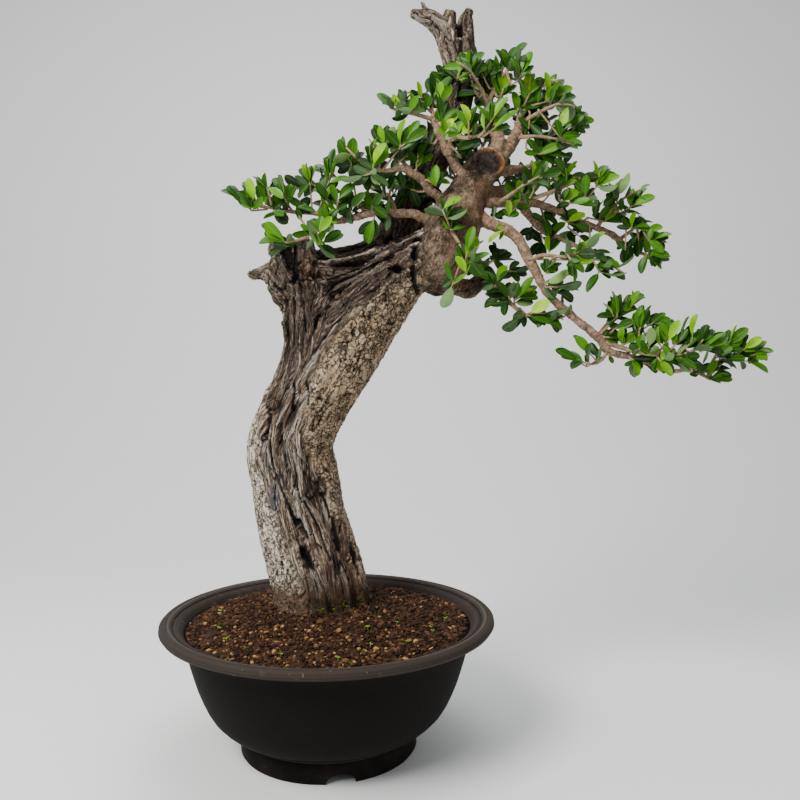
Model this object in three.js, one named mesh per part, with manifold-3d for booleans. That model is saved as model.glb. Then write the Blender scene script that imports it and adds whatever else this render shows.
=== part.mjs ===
// An old olive bonsai in a round training pot. Millimetres, +Z up, front towards -Y.
// The plant and pot are laid out about the pot's own axis, with the foot ring standing on z = 0.
// The whole group is then moved so that the middle of its footprint is at the origin.
import * as THREE from "three";
import { mergeVertices } from "three/addons/utils/BufferGeometryUtils.js";
import Module from "manifold-3d";

const wasm = await Module();
wasm.setup();

// ---------- driving dimensions ----------
const FIT = 0.3; // clearance between pieces that touch
const LIP_RADIUS = 160; // a 32 cm training pot
const FOOT_RADIUS = 85;
const FOOT_INNER_RADIUS = 72;
const FLOOR_TOP = 24;
const POT_SEGMENTS = 24;
const DRAIN_RADIUS = 10;
const NOTCH = { width: 26, height: 9, depth: 24, firstAngle: -78, count: 3 };
const MESH = { radius: 22, sides: 16, thickness: 1.4, holeSize: 7, holePitch: 12, holesPerSide: 2 };
const SOIL = { radius: 135.5, edge: 118, rise: 22, rings: 5, lump: 1.7 };
const TRUNK = { sides: 20, rings: 22, recess: 3.2, furrow: 2.4, lip: 2.2, bark: 1.1 };
const LEAF = { width: 0.43, keel: 1.2, fold: 0.05, droop: 0.09, base: 0.32, shoulder: 0.7, upturn: 0.3 };
const TWIG = { root: 1.3, tip: 0.9, shortest: 11 };
const STEM = { tip: 1.1, bare: 9, leafy: 0.75 };
const BAND = 2; // the length of wood that a pair of leaves grows from
const PAIRS = [{ spread: 60, size: 0.95 }, { spread: 40, size: 1 }]; // degrees from the twig
const OVERLAP = 0.005; // mm3 that counts as a crossing

const UP = new THREE.Vector3(0, 0, 1);
const degrees = THREE.MathUtils.degToRad;
const mix = THREE.MathUtils.lerp;
const smooth = THREE.MathUtils.smoothstep;

// The same seed and number always give the same draw from 0 to 1.
function draw(seed, number) {
  const value = Math.sin(seed * 12.9898 + number * 78.233) * 43758.5453;
  return value - Math.floor(value);
}

// ---------- solids ----------
function solid(geometry) {
  const bare = geometry.clone();
  bare.deleteAttribute("normal");
  bare.deleteAttribute("uv");
  const merged = mergeVertices(bare, 1e-3);
  return new wasm.Manifold(
    new wasm.Mesh({
      numProp: 3,
      vertProperties: new Float32Array(merged.attributes.position.array),
      triVerts: new Uint32Array(merged.index.array),
    }),
  );
}

function solidFrom(points, faces) {
  const geometry = new THREE.BufferGeometry();
  geometry.setAttribute("position", new THREE.Float32BufferAttribute(points.flat(), 3));
  geometry.setIndex(faces.flat());
  return solid(geometry);
}

function geometryOf(shape) {
  const mesh = shape.getMesh();
  const geometry = new THREE.BufferGeometry();
  const points = new THREE.BufferAttribute(new Float32Array(mesh.vertProperties), 3);
  geometry.setAttribute("position", points);
  geometry.setIndex(new THREE.BufferAttribute(new Uint32Array(mesh.triVerts), 1));
  geometry.computeVertexNormals();
  return geometry;
}

// A body of revolution about Z from a closed outline of [radius, z] points.
function turned(outline) {
  const points = [...outline, outline[0]].map(([r, z]) => new THREE.Vector2(r, z));
  return solid(new THREE.LatheGeometry(points, POT_SEGMENTS).rotateX(Math.PI / 2));
}

// ---------- paths and lofts ----------
// A smooth path through hand-set points [x, y, z, radius], read by the distance along it.
class Path {
  constructor(points) {
    this.samples = [];
    const last = points.length - 1;
    const steps = 12;
    for (let i = 0; i < last * steps + 1; i++) {
      const k = Math.min(Math.floor(i / steps), last - 1);
      this.samples.push(between(points, k, i / steps - k));
    }
    this.reach = [0];
    for (let i = 1; i < this.samples.length; i++) {
      const step = this.place(i).distanceTo(this.place(i - 1));
      this.reach.push(this.reach[i - 1] + step);
    }
    this.length = this.reach[this.reach.length - 1];
  }
  place(i) {
    return new THREE.Vector3(...this.samples[i]);
  }
  at(distance) {
    const d = Math.min(Math.max(distance, 0), this.length);
    let i = 1;
    while (i < this.reach.length - 1 && this.reach[i] < d) i++;
    const share = (d - this.reach[i - 1]) / (this.reach[i] - this.reach[i - 1]);
    return {
      point: this.place(i - 1).lerp(this.place(i), share),
      tangent: this.place(i).sub(this.place(i - 1)).normalize(),
      radius: mix(this.samples[i - 1][3], this.samples[i][3], share),
    };
  }
}

// Catmull-Rom between point k and the next one, in all four numbers.
function between(points, k, t) {
  const p = [-1, 0, 1, 2].map((j) => points[Math.min(Math.max(k + j, 0), points.length - 1)]);
  return p[1].map((unused, n) => {
    const [a, b, c, d] = p.map((point) => point[n]);
    return b + 0.5 * t * (c - a + t * (2 * a - 5 * b + 4 * c - d + t * (3 * (b - c) + d - a)));
  });
}

// Rings of points round a path, one at each of the distances along it. outline(angle, point,
// radius) gives the distance from the path.
function ringsAlong(path, distances, sides, outline, turn = 0) {
  const points = [];
  let across = new THREE.Vector3(1, 0, 0);
  if (Math.abs(path.at(distances[0]).tangent.x) > 0.8) across.set(0, 1, 0);
  for (const distance of distances) {
    const { point, tangent, radius } = path.at(distance);
    across = across.addScaledVector(tangent, -across.dot(tangent)).normalize();
    const away = tangent.clone().cross(across);
    for (let j = 0; j < sides; j++) {
      const angle = turn + (2 * Math.PI * j) / sides;
      const size = outline(angle, point, radius);
      const spot = point.clone().addScaledVector(across, size * Math.cos(angle));
      points.push(spot.addScaledVector(away, size * Math.sin(angle)).toArray());
    }
  }
  return points;
}

// A closed body along a path.
function loft(path, { sides, rings, outline = round }) {
  const distances = Array.from({ length: rings }, (unused, i) => (path.length * i) / (rings - 1));
  const points = ringsAlong(path, distances, sides, outline);
  const faces = [];
  const middle = points.length;
  const top = (rings - 1) * sides;
  const isFan = sides > 10;
  if (isFan) points.push(path.at(0).point.toArray(), path.at(path.length).point.toArray());
  for (let j = 0; j < sides; j++) {
    const next = (j + 1) % sides;
    if (isFan) faces.push([middle, next, j], [middle + 1, top + j, top + next]);
    else if (j > 1) faces.push([0, j, j - 1], [top, top + j - 1, top + j]);
    for (let i = 0; i < rings - 1; i++) {
      const a = i * sides + j;
      const b = i * sides + next;
      faces.push([a, b, b + sides], [a, b + sides, a + sides]);
    }
  }
  return solidFrom(points, faces);
}

function round(angle, point, radius) {
  return radius;
}

// ---------- pot, drain mesh and soil ----------
const POT_INSIDE = [
  [137, 118], [131, 104], [118, 64], [100, 36], [84, FLOOR_TOP],
];

function pot() {
  const outside = [
    [FOOT_INNER_RADIUS, 0], [FOOT_RADIUS - 1, 0], [FOOT_RADIUS, 18], [88.5, 21], [92.5, 26],
    [101, 28.5], [112, 39], [121, 56], [129, 78], [136, 104], [139.5, 116.5],
    [155, 117.5], [LIP_RADIUS, 122], [157.5, 126.5], [152, 126.5], [141, 120.5],
  ];
  const underside = [
    [DRAIN_RADIUS, FLOOR_TOP], [DRAIN_RADIUS, 15], [FOOT_INNER_RADIUS - 4, 14],
  ];
  let shape = turned([...outside, ...POT_INSIDE, ...underside]);
  for (let i = 0; i < NOTCH.count; i++) {
    const turn = degrees(NOTCH.firstAngle + (360 / NOTCH.count) * i);
    shape = shape.subtract(notchCutter(turn));
  }
  return shape;
}

// An arched gap through the foot ring, which lets water out from under the pot.
function notchCutter(turn) {
  const arch = new THREE.Shape();
  arch.moveTo(-NOTCH.width / 2, -1);
  arch.lineTo(NOTCH.width / 2, -1);
  arch.lineTo(NOTCH.width * 0.34, NOTCH.height * 0.8);
  arch.quadraticCurveTo(0, NOTCH.height * 1.2, -NOTCH.width * 0.34, NOTCH.height * 0.8);
  const geometry = new THREE.ExtrudeGeometry(arch, {
    depth: NOTCH.depth,
    bevelEnabled: false,
    curveSegments: 4,
  });
  geometry.rotateX(Math.PI / 2);
  geometry.rotateZ(Math.PI / 2);
  geometry.translate(FOOT_INNER_RADIUS - 8, 0, 0);
  geometry.rotateZ(turn);
  return solid(geometry);
}

// The plastic mesh that lies over the drain hole and keeps the soil in.
function drainMesh() {
  const disc = new THREE.CylinderGeometry(MESH.radius, MESH.radius, MESH.thickness, MESH.sides);
  let shape = solid(disc.rotateX(Math.PI / 2));
  const middle = (MESH.holesPerSide - 1) / 2;
  for (let i = 0; i < MESH.holesPerSide; i++) {
    for (let j = 0; j < MESH.holesPerSide; j++) {
      const hole = new THREE.BoxGeometry(MESH.holeSize, MESH.holeSize, 3 * MESH.thickness);
      hole.translate((i - middle) * MESH.holePitch, (j - middle) * MESH.holePitch, 0);
      shape = shape.subtract(solid(hole));
    }
  }
  return shape.translate([0, 0, FLOOR_TOP + FIT + MESH.thickness / 2]);
}

// Granular soil: it fills the pot, has a pocket over the drain mesh and a plain hole for the trunk.
function soil(trunkHole) {
  const pocket = MESH.radius + FIT;
  const bottom = FLOOR_TOP + FIT;
  const wall = POT_INSIDE.slice(1).reverse().map(([r, z]) => [r - 1.5 * FIT, z + FIT]);
  const outline = [
    [0, bottom + MESH.thickness + FIT], [pocket, bottom + MESH.thickness + FIT],
    [pocket, bottom], ...wall, [SOIL.radius, SOIL.edge - 0.5],
  ];
  const points = [];
  const ring = (r, z) => {
    for (let j = 0; j < POT_SEGMENTS; j++) {
      const angle = (2 * Math.PI * j) / POT_SEGMENTS;
      points.push([r * Math.sin(angle), -r * Math.cos(angle), z(j)]);
    }
  };
  points.push([0, 0, outline[0][1]]);
  outline.slice(1).forEach(([r, z]) => ring(r, () => z));
  for (let i = SOIL.rings; i > 0; i--) {
    const r = (SOIL.radius * i) / (SOIL.rings + 0.6);
    ring(r, (j) => soilHeight(r) + SOIL.lump * (2 * draw(i, j) - 1));
  }
  points.push([0, 0, soilHeight(0)]);
  const faces = [];
  const last = points.length - 1;
  const ringCount = (last - 1) / POT_SEGMENTS;
  for (let j = 0; j < POT_SEGMENTS; j++) {
    const next = (j + 1) % POT_SEGMENTS;
    const top = 1 + (ringCount - 1) * POT_SEGMENTS;
    faces.push([0, 1 + next, 1 + j], [last, top + j, top + next]);
    for (let i = 0; i < ringCount - 1; i++) {
      const a = 1 + i * POT_SEGMENTS + j;
      const b = 1 + i * POT_SEGMENTS + next;
      faces.push([a, b, b + POT_SEGMENTS], [a, b + POT_SEGMENTS, a + POT_SEGMENTS]);
    }
  }
  return solidFrom(points, faces).subtract(trunkHole);
}

function soilHeight(r) {
  return SOIL.edge + SOIL.rise * (1 - (r / SOIL.radius) ** 1.7);
}

// ---------- the tree's wood ----------
// Paths hold [x, y, z, radius].
const TRUNK_PATH = [
  [-6, 2, 84, 37], [-7, 1, 104, 41], [-7, 0, 131, 43.5], [-11, 0, 159, 44.5], [-20, 0, 191, 44],
  [-28, -1, 223, 42.5], [-33, -1, 256, 42.5], [-38, -2, 286, 42], [-32, -2, 309, 41],
  [-19, -2, 334, 40], [-4, -2, 358, 40], [11, -3, 381, 40], [34, -4, 414, 37],
  [59, -5, 445, 32], [82, -5, 466, 27], [104, -4, 482, 22],
];
// Where bare, weathered wood shows on the trunk: [height, first angle, last angle] in degrees
// from the right hand side, through the back (90), the left (180) and the front (270).
const BARE_BAND = [
  [84, 264, 346], [131, 262, 345], [155, 258, 343], [191, 251, 338], [215, 248, 328],
  [257, 240, 318], [296, 236, 296], [312, 222, 288], [334, 176, 272], [381, 150, 258],
  [414, 140, 262], [446, 150, 268], [500, 150, 268],
];
const DEAD_WOOD = {
  nose: [
    [-13, -3, 362, 29], [-10, -4, 390, 28], [-13, -5, 414, 28], [-20, -6, 434, 28],
    [-29, -7, 448, 29], [-31, -7, 460, 26], [-31, -7, 473, 21], [-32, -7, 485, 17],
  ],
  noseSpur: [[-38, -8, 462, 15], [-54, -9, 457, 9], [-66, -10, 455, 6], [-77, -10, 455, 3]],
  noseHorn: [[-38, -14, 462, 10], [-50, -12, 476, 7], [-54, -8, 486, 3]],
  noseShoulder: [[-26, -16, 450, 14], [-24, -12, 470, 11], [-26, -6, 486, 6]],
  frontRidge: [
    [-24, -14, 446, 18], [2, -16, 452, 14], [30, -15, 458, 13], [52, -14, 470, 11],
    [66, -16, 474, 8], [80, -18, 469, 3],
  ],
  backRidge: [
    [-22, 10, 462, 16], [12, 14, 470, 14], [36, 18, 478, 13], [54, 22, 492, 13],
    [64, 25, 510, 13], [72, 29, 530, 13],
  ],
  saddle: [[-16, 0, 440, 24], [12, 0, 448, 20], [40, 2, 458, 20], [66, 6, 472, 22]],
  spine: [
    [52, 8, 458, 22], [66, 18, 484, 21], [74, 25, 508, 20], [83, 30, 534, 19],
    [99, 33, 572, 17.5], [117, 33, 612, 16], [128, 28, 650, 15.5], [130, 22, 676, 15],
    [128, 20, 690, 12],
  ],
  leftHorn: [
    [124, 21, 668, 12], [118, 20, 684, 10.5], [111, 17, 699, 9.5], [100, 13, 708, 8.5],
    [89, 11, 711, 6], [80, 10, 714, 3.5],
  ],
  middleHorn: [[120, 19, 688, 9.5], [117, 17, 704, 8], [119, 16, 718, 5]],
  rightHorn: [[131, 22, 672, 11], [134, 21, 696, 9], [135, 19, 712, 6.5], [138, 18, 721, 3.5]],
  brokenTwig: [[102, 13, 708, 4], [94, 12, 718, 2.6], [90, 12, 725, 1.6]],
};
const LIVE_WOOD = {
  heart: [
    [96, -10, 436, 6], [100, -11, 444, 18], [104, -12, 458, 24], [110, -12, 474, 26.5],
    [117, -10, 492, 26.5], [125, -8, 512, 24.5], [133, -5, 530, 20], [141, -3, 546, 18],
    [149, -3, 560, 15],
  ],
  flap: [[112, -2, 450, 12], [126, 2, 444, 9], [138, 5, 443, 9], [150, 8, 454, 6], [154, 10, 460, 3]],
  scar: [[150, 2, 556, 15], [152, -8, 558, 16.5], [153, -15, 559, 15.5], [153.5, -17, 559.5, 12]],
  lowLeft: [
    [112, -3, 499, 9], [98, -6, 506, 6.6], [82, -10, 512, 5.3], [65, -14, 512, 4.8],
    [51, -18, 513, 4.6], [37, -22, 509, 4.5], [24, -24, 505, 4.2], [9, -27, 501, 3.4],
  ],
  midLeft: [
    [126, -5, 518, 8], [112, -10, 525, 6], [99, -16, 532, 5.1], [89, -22, 542, 4.7],
    [78, -25, 548, 4.3], [69, -28, 552, 3.6],
  ],
  highLeft: [
    [140, -7, 540, 8], [130, -14, 547, 6.2], [120, -20, 558, 5.6], [113, -26, 570, 6.4],
    [105, -28, 584, 4.7], [100, -28, 597, 3.8],
  ],
  topFork: [
    [150, -1, 556, 14], [160, 3, 572, 11], [165, 5, 584, 8.5], [162, 6, 598, 7],
    [157, 8, 614, 6.4], [156, 8, 629, 4.6],
  ],
  rightFork: [
    [158, 4, 562, 11], [170, 7, 574, 8.6], [179, 8, 587, 7.4], [185, 8, 599, 6.2],
    [187, 8, 613, 4.6],
  ],
  rightStub: [[156, 4, 560, 9], [178, 12, 560, 6], [192, 16, 564, 4]],
  cascade: [
    [134, -3, 517, 11], [150, -13, 505, 8], [160, -18, 499, 6.8], [172, -22, 493, 6.2],
    [182, -24, 483, 6], [188, -26, 469, 5.7], [195, -26, 457, 5.5], [202, -26, 443, 5.1],
    [213, -26, 428, 4.8], [228, -26, 415, 4.6], [245, -26, 401, 4.6], [257, -26, 391, 5.4],
    [265, -26, 380, 4.8], [280, -26, 376, 3.9], [295, -26, 372, 3],
  ],
  right: [[138, -2, 528, 9], [150, -4, 525, 6.8], [162, -4, 524, 5.6], [179, -4, 522, 4.2]],
  rightLow: [
    [144, 4, 544, 10], [157, 10, 540, 7.4], [173, 14, 536, 6.4], [189, 20, 528, 5.8],
    [200, 26, 518, 5.5], [215, 30, 505, 4.8], [227, 29, 497, 3.8],
  ],
  rightFar: [
    [182, 17, 532, 6], [205, 22, 530, 5], [228, 22, 522, 4.5], [250, 20, 511, 4.1],
    [277, 22, 501, 3.8], [290, 22, 492, 3.6], [306, 22, 480, 2.8],
  ],
  hanging: [
    [126, -2, 490, 9], [139, 1, 476, 5], [150, -3, 461, 4.2], [161, -8, 444, 3.7],
    [175, -12, 426, 2.8],
  ],
};

// 1 inside the bare band, 0 on bark, with a soft edge. angle is in degrees.
function bareness(angle, height) {
  let row = 1;
  while (row < BARE_BAND.length - 1 && BARE_BAND[row][0] < height) row++;
  const [low, high] = [BARE_BAND[row - 1], BARE_BAND[row]];
  const share = THREE.MathUtils.clamp((height - low[0]) / (high[0] - low[0]), 0, 1);
  const first = mix(low[1], high[1], share);
  const last = mix(low[2], high[2], share);
  const inside = Math.min(angle - first, last - angle);
  return { mask: smooth(inside, -6, 8), edge: Math.exp(-((inside + 6) ** 2) / 60) };
}

// The trunk's section: bark swells beside a hollowed band of furrowed bare wood.
function trunkOutline(angle, point, radius) {
  const turn = THREE.MathUtils.radToDeg(angle);
  const { mask, edge } = bareness(turn, point.z);
  const furrow = Math.sin(11 * angle + point.z * 0.035) + 0.5 * Math.sin(19 * angle - point.z * 0.02);
  const lobes = 0.03 * radius * Math.sin(2 * angle + point.z * 0.012);
  const rough = TRUNK.bark * (2 * draw(Math.round(turn), Math.round(point.z)) - 1);
  const bare = TRUNK.furrow * furrow - TRUNK.recess;
  return radius + lobes + mask * bare + (1 - mask) * (rough + TRUNK.lip * edge);
}

// Weathered wood without bark: ridges run along it.
function deadOutline(angle, point, radius) {
  const ridge = Math.sin(4 * angle + point.x * 0.05) + 0.6 * Math.sin(7 * angle - point.z * 0.04);
  return radius * (1 + 0.08 * ridge);
}

// The trunk, its dead wood and the limbs in one body, made larger all round by grow.
function wood(grow = 0) {
  const grown = (outline) => (angle, point, radius) => outline(angle, point, radius) + grow;
  const trunk = new Path(TRUNK_PATH);
  const outline = grown(trunkOutline);
  let shape = loft(trunk, { sides: TRUNK.sides, rings: TRUNK.rings, outline });
  for (const points of Object.values(DEAD_WOOD)) {
    shape = shape.add(branch(lengthened(points, grow), [11, 6], grown(deadOutline)));
  }
  for (const points of Object.values(LIVE_WOOD)) {
    shape = shape.add(branch(lengthened(points, grow), [12, 5], grown(round)));
  }
  return shape;
}

// The same points with the last one moved on by extra.
function lengthened(points, extra) {
  const [before, last] = points.slice(-2).map((point) => new THREE.Vector3(...point));
  last.addScaledVector(last.clone().sub(before).normalize(), extra);
  return [...points.slice(0, -1), [...last.toArray(), points[points.length - 1][3]]];
}

// A loft with more sides where it is thick, and a ring to each hand-set point.
function branch(points, [thickSides, thinSides], outline) {
  const sides = points[1][3] > 14 ? thickSides : thinSides;
  return loft(new Path(points), { sides, rings: points.length, outline });
}

function trunkHole() {
  const path = new Path(TRUNK_PATH);
  const outline = (angle, point, radius) => trunkOutline(angle, point, radius) + 2 * FIT;
  const hole = loft(path, { sides: TRUNK.sides, rings: TRUNK.rings, outline });
  return hole.add(hole.translate([0, 0, -FIT]));
}

// ---------- leafy sprays ----------
// stem: [x, y, z] from inside the limb to the tip. root: its radius there. shoots: side shoots.
// reach: how long those are. leaf: the length of a full leaf. lift: how far the shoots turn up.
const SPRAYS = {
  left_tip: {
    stem: [[11, -26, 501], [-9, -30, 508], [-27, -34, 508], [-51, -36, 512], [-73, -36, 514]],
    root: 2.8, shoots: 2, reach: 24, leaf: 20, lift: 0.5,
  },
  left_low: {
    stem: [[15, -25, 503], [6, -38, 497], [-6, -46, 490], [-16, -54, 479], [-30, -58, 472]],
    root: 2, shoots: 2, reach: 16, leaf: 22, lift: 0.2,
  },
  left_mid: {
    stem: [[37, -22, 509], [29, -20, 523], [12, -14, 532], [-14, -8, 539], [-35, -4, 537]],
    root: 2.2, shoots: 2, reach: 24, leaf: 20, lift: 0.5,
  },
  left_back: {
    stem: [[65, -12, 513], [57, 8, 534], [33, 28, 551], [3, 40, 560]],
    root: 2.4, shoots: 2, reach: 26, leaf: 19, lift: 0.4,
  },
  shoulder_left: {
    stem: [[71, -28, 552], [50, -32, 547], [32, -34, 556], [19, -34, 568]],
    root: 2.4, shoots: 2, reach: 22, leaf: 21, lift: 0.4,
  },
  shoulder_up: {
    stem: [[74, -24, 551], [67, -20, 570], [54, -14, 581], [38, -8, 589]],
    root: 2.2, shoots: 2, reach: 22, leaf: 21, lift: 0.4,
  },
  shoulder_back: {
    stem: [[88, -18, 541], [74, 14, 567], [57, 38, 583], [36, 52, 590]],
    root: 2.2, shoots: 2, reach: 24, leaf: 19, lift: 0.4,
  },
  crown_left: {
    stem: [[100, -28, 596], [80, -32, 600], [65, -34, 602], [50, -34, 611]],
    root: 2.4, shoots: 2, reach: 18, leaf: 18, lift: 0.4,
  },
  crown_left_up: {
    stem: [[101, -26, 594], [97, -18, 614], [88, -14, 625], [73, -10, 628]],
    root: 2.2, shoots: 1, reach: 18, leaf: 18, lift: 0.4,
  },
  crown_front: {
    stem: [[116, -25, 568], [116, -42, 575], [132, -52, 571], [150, -56, 577], [162, -58, 587]],
    root: 2.4, shoots: 2, reach: 20, leaf: 19, lift: 0.6,
  },
  top_left: {
    stem: [[156, 7, 620], [146, -4, 635], [136, -14, 646], [124, -20, 652]],
    root: 2.6, shoots: 2, reach: 20, leaf: 20, lift: 0.3,
  },
  top_middle: {
    stem: [[156, 8, 626], [163, 0, 640], [172, -8, 650], [183, -12, 656]],
    root: 2.6, shoots: 2, reach: 20, leaf: 20, lift: 0.3,
  },
  top_back: {
    stem: [[157, 10, 616], [160, 36, 640], [152, 58, 654], [140, 70, 658]],
    root: 2.4, shoots: 2, reach: 22, leaf: 19, lift: 0.3,
  },
  top_right: {
    stem: [[187, 8, 610], [201, 0, 632], [215, -6, 641], [226, -10, 640]],
    root: 2.6, shoots: 2, reach: 20, leaf: 20, lift: 0.3,
  },
  right_crown: {
    stem: [[186, 8, 604], [204, -6, 611], [221, -16, 615], [234, -22, 610]],
    root: 2.4, shoots: 2, reach: 20, leaf: 22, lift: 0.2,
  },
  right_crown_low: {
    stem: [[180, 8, 590], [200, -2, 589], [219, -8, 584], [235, -12, 578]],
    root: 2.2, shoots: 1, reach: 20, leaf: 20, lift: 0.1,
  },
  right_crown_back: {
    stem: [[184, 8, 598], [200, 30, 622], [222, 48, 636], [238, 58, 634]],
    root: 2.4, shoots: 2, reach: 22, leaf: 19, lift: 0.3,
  },
  right_stub: {
    stem: [[190, 16, 563], [208, 20, 571], [225, 22, 581], [235, 22, 593]],
    root: 2.4, shoots: 2, reach: 20, leaf: 19, lift: 0,
  },
  right_upper: {
    stem: [[177, -4, 522], [199, -10, 528], [223, -14, 536], [247, -16, 547]],
    root: 2.8, shoots: 3, reach: 22, leaf: 22, lift: 0.5,
  },
  right_upper_front: {
    stem: [[164, -5, 524], [175, -28, 528], [186, -40, 534], [196, -46, 538]],
    root: 2.2, shoots: 2, reach: 22, leaf: 22, lift: 0.5,
  },
  right_upper_back: {
    stem: [[184, 17, 532], [212, 40, 554], [242, 54, 564], [268, 60, 566]],
    root: 2.6, shoots: 3, reach: 24, leaf: 20, lift: 0.3,
  },
  right_far_up: {
    stem: [[266, 22, 506], [275, 14, 520], [289, 8, 532], [303, 4, 539]],
    root: 2.2, shoots: 2, reach: 18, leaf: 20, lift: 0.3,
  },
  right_far_mid: {
    stem: [[288, 22, 494], [300, 12, 503], [312, 6, 516], [318, 2, 523]],
    root: 2.2, shoots: 2, reach: 17, leaf: 18, lift: 0.2,
  },
  right_far_tip: {
    stem: [[304, 22, 482], [313, 16, 478], [321, 12, 474], [328, 10, 478]],
    root: 2.2, shoots: 2, reach: 14, leaf: 17, lift: 0.4,
  },
  right_low_front: {
    stem: [[191, -26, 464], [202, -44, 468], [215, -54, 462], [234, -58, 469]],
    root: 2.4, shoots: 2, reach: 18, leaf: 23, lift: 0.4,
  },
  right_low_mid: {
    stem: [[225, 29, 499], [245, 20, 487], [267, 14, 474], [290, 10, 458]],
    root: 2.8, shoots: 2, reach: 20, leaf: 19, lift: 0.5,
  },
  right_hang: {
    stem: [[173, -11, 428], [189, -18, 414], [207, -22, 408], [224, -24, 413]],
    root: 2.2, shoots: 2, reach: 18, leaf: 20, lift: 0.5,
  },
  cascade_tip: {
    stem: [
      [293, -26, 372], [318, -24, 362], [340, -20, 362], [360, -16, 368], [387, -12, 374],
      [409, -10, 380],
    ],
    root: 2.6, shoots: 4, reach: 20, leaf: 19, lift: 0.7,
  },
  cascade_over: {
    stem: [[258, -26, 390], [281, -34, 381], [305, -40, 376], [327, -44, 376], [348, -46, 385]],
    root: 2.6, shoots: 2, reach: 18, leaf: 19, lift: 0.7,
  },
  cascade_up: {
    stem: [[254, -26, 393], [265, -20, 406], [280, -14, 419], [292, -10, 429]],
    root: 2.2, shoots: 2, reach: 16, leaf: 18, lift: 0.2,
  },
  cascade_up_far: {
    stem: [[281, -26, 376], [298, -12, 391], [314, -4, 403], [329, 0, 410]],
    root: 2, shoots: 1, reach: 15, leaf: 18, lift: 0.2,
  },
  cascade_low: {
    stem: [[264, -26, 380], [256, -34, 371], [247, -38, 367], [239, -40, 369]],
    root: 1.8, shoots: 1, reach: 8, leaf: 26, lift: 0.2,
  },
  trunk_shoot: {
    stem: [[114, -28, 498], [120, -46, 482], [127, -54, 468], [132, -58, 460]],
    root: 2.2, shoots: 2, reach: 12, leaf: 25, lift: 0.2,
  },
  back_left: {
    stem: [[136, 10, 545], [128, 38, 557], [113, 62, 572], [92, 78, 586]],
    root: 3, shoots: 3, reach: 26, leaf: 20, lift: 0.3,
  },
  back_middle: {
    stem: [[144, 8, 556], [150, 42, 584], [160, 66, 608], [170, 80, 622]],
    root: 3, shoots: 3, reach: 26, leaf: 20, lift: 0.2,
  },
  back_right: {
    stem: [[158, 10, 540], [185, 48, 556], [212, 74, 570], [239, 90, 578]],
    root: 3, shoots: 3, reach: 26, leaf: 20, lift: 0.2,
  },
};

function stemOf({ stem, root }) {
  const last = stem.length - 1;
  return new Path(stem.map((point, i) => [...point, mix(root, STEM.tip, i / last)]));
}

// How much of a stem's end bears leaves.
function leafyPart(spray) {
  return Math.max(STEM.leafy * spray.reach, TWIG.shortest);
}

// The distances along a spray's stem at which its side shoots leave it.
function forksOf(spray, seed) {
  const end = stemOf(spray).length - leafyPart(spray);
  return Array.from({ length: spray.shoots }, (unused, k) => {
    const share = (k + 0.25 + 0.5 * draw(seed, k)) / spray.shoots;
    return mix(STEM.bare, end, share);
  });
}

// A side shoot: from the stem, forward and out to one side, turned up at random.
function shootOf(spray, seed, fork, k) {
  const { point, tangent } = stemOf(spray).at(fork);
  const side = tangent.clone().cross(UP).normalize();
  const over = side.clone().cross(tangent);
  const swing = degrees(mix(10, 85, draw(seed, k + 20)) * (k % 2 ? 1 : -1));
  const way = tangent.clone().multiplyScalar(mix(0.3, 0.8, draw(seed, k + 40)));
  way.addScaledVector(over, Math.cos(swing)).addScaledVector(side, Math.sin(swing));
  way.addScaledVector(UP, spray.lift).normalize();
  const length = Math.max(spray.reach * mix(0.7, 1.15, draw(seed, k + 60)), TWIG.shortest);
  const tip = point.clone().addScaledVector(way, length);
  return new Path([[...point.toArray(), TWIG.root], [...tip.toArray(), TWIG.tip]]);
}

// Rings for two pairs of leaves on the last part of a path.
function leafyCuts(path, part) {
  const low = path.length - 0.5 * part;
  return [low, low + BAND, path.length - BAND, path.length];
}

// A four-sided tube with a ring at each cut, and two pairs of opposite leaves near its end, one
// square to the other. isClear says which leaves have room.
function leafyTube(path, cuts, leafLength, seed, isClear) {
  const points = ringsAlong(path, cuts, 4, round, 2 * Math.PI * draw(seed, 1));
  const last = points.length - 4;
  const faces = [[0, 2, 1], [0, 3, 2], [last, last + 1, last + 2], [last, last + 2, last + 3]];
  const bands = [cuts.length - 4, cuts.length - 2];
  for (let i = 0; i < cuts.length - 1; i++) {
    const pair = bands.indexOf(i);
    for (let j = 0; j < 4; j++) {
      const a = 4 * i + j;
      const b = 4 * i + ((j + 1) % 4);
      const foot = [a, b, b + 4];
      faces.push([a, b + 4, a + 4]);
      const bearsLeaf = pair >= 0 && j % 2 === pair;
      const corners = foot.map((k) => points[k]);
      const leaf = bearsLeaf ? leafOn(path.at(cuts[i]), corners, pair, leafLength, seed + j / 4) : null;
      if (leaf && isClear(leaf)) addLeaf(leaf, foot, points, faces);
      else faces.push(foot);
    }
  }
  return solidFrom(points, faces);
}

// The leaf on one side of a twig, given that side's three corners.
function leafOn({ point, tangent }, corners, pair, leafLength, seed) {
  const [a, b, c] = corners.map((corner) => new THREE.Vector3(...corner));
  const out = a.clone().add(c).multiplyScalar(0.5).sub(point);
  out.addScaledVector(tangent, -out.dot(tangent)).normalize();
  const { spread, size } = PAIRS[pair];
  const open = degrees(spread + 18 * (draw(seed, 30 + pair) - 0.5));
  const along = tangent.clone().multiplyScalar(Math.cos(open)).addScaledVector(out, Math.sin(open));
  const face = tangent.clone().addScaledVector(UP, LEAF.upturn);
  return {
    root: a.add(b).add(c).divideScalar(3),
    along,
    face: face.addScaledVector(along, -face.dot(along)).normalize(),
    length: leafLength * size * mix(0.8, 1.2, draw(seed, 50 + pair)),
  };
}

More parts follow.
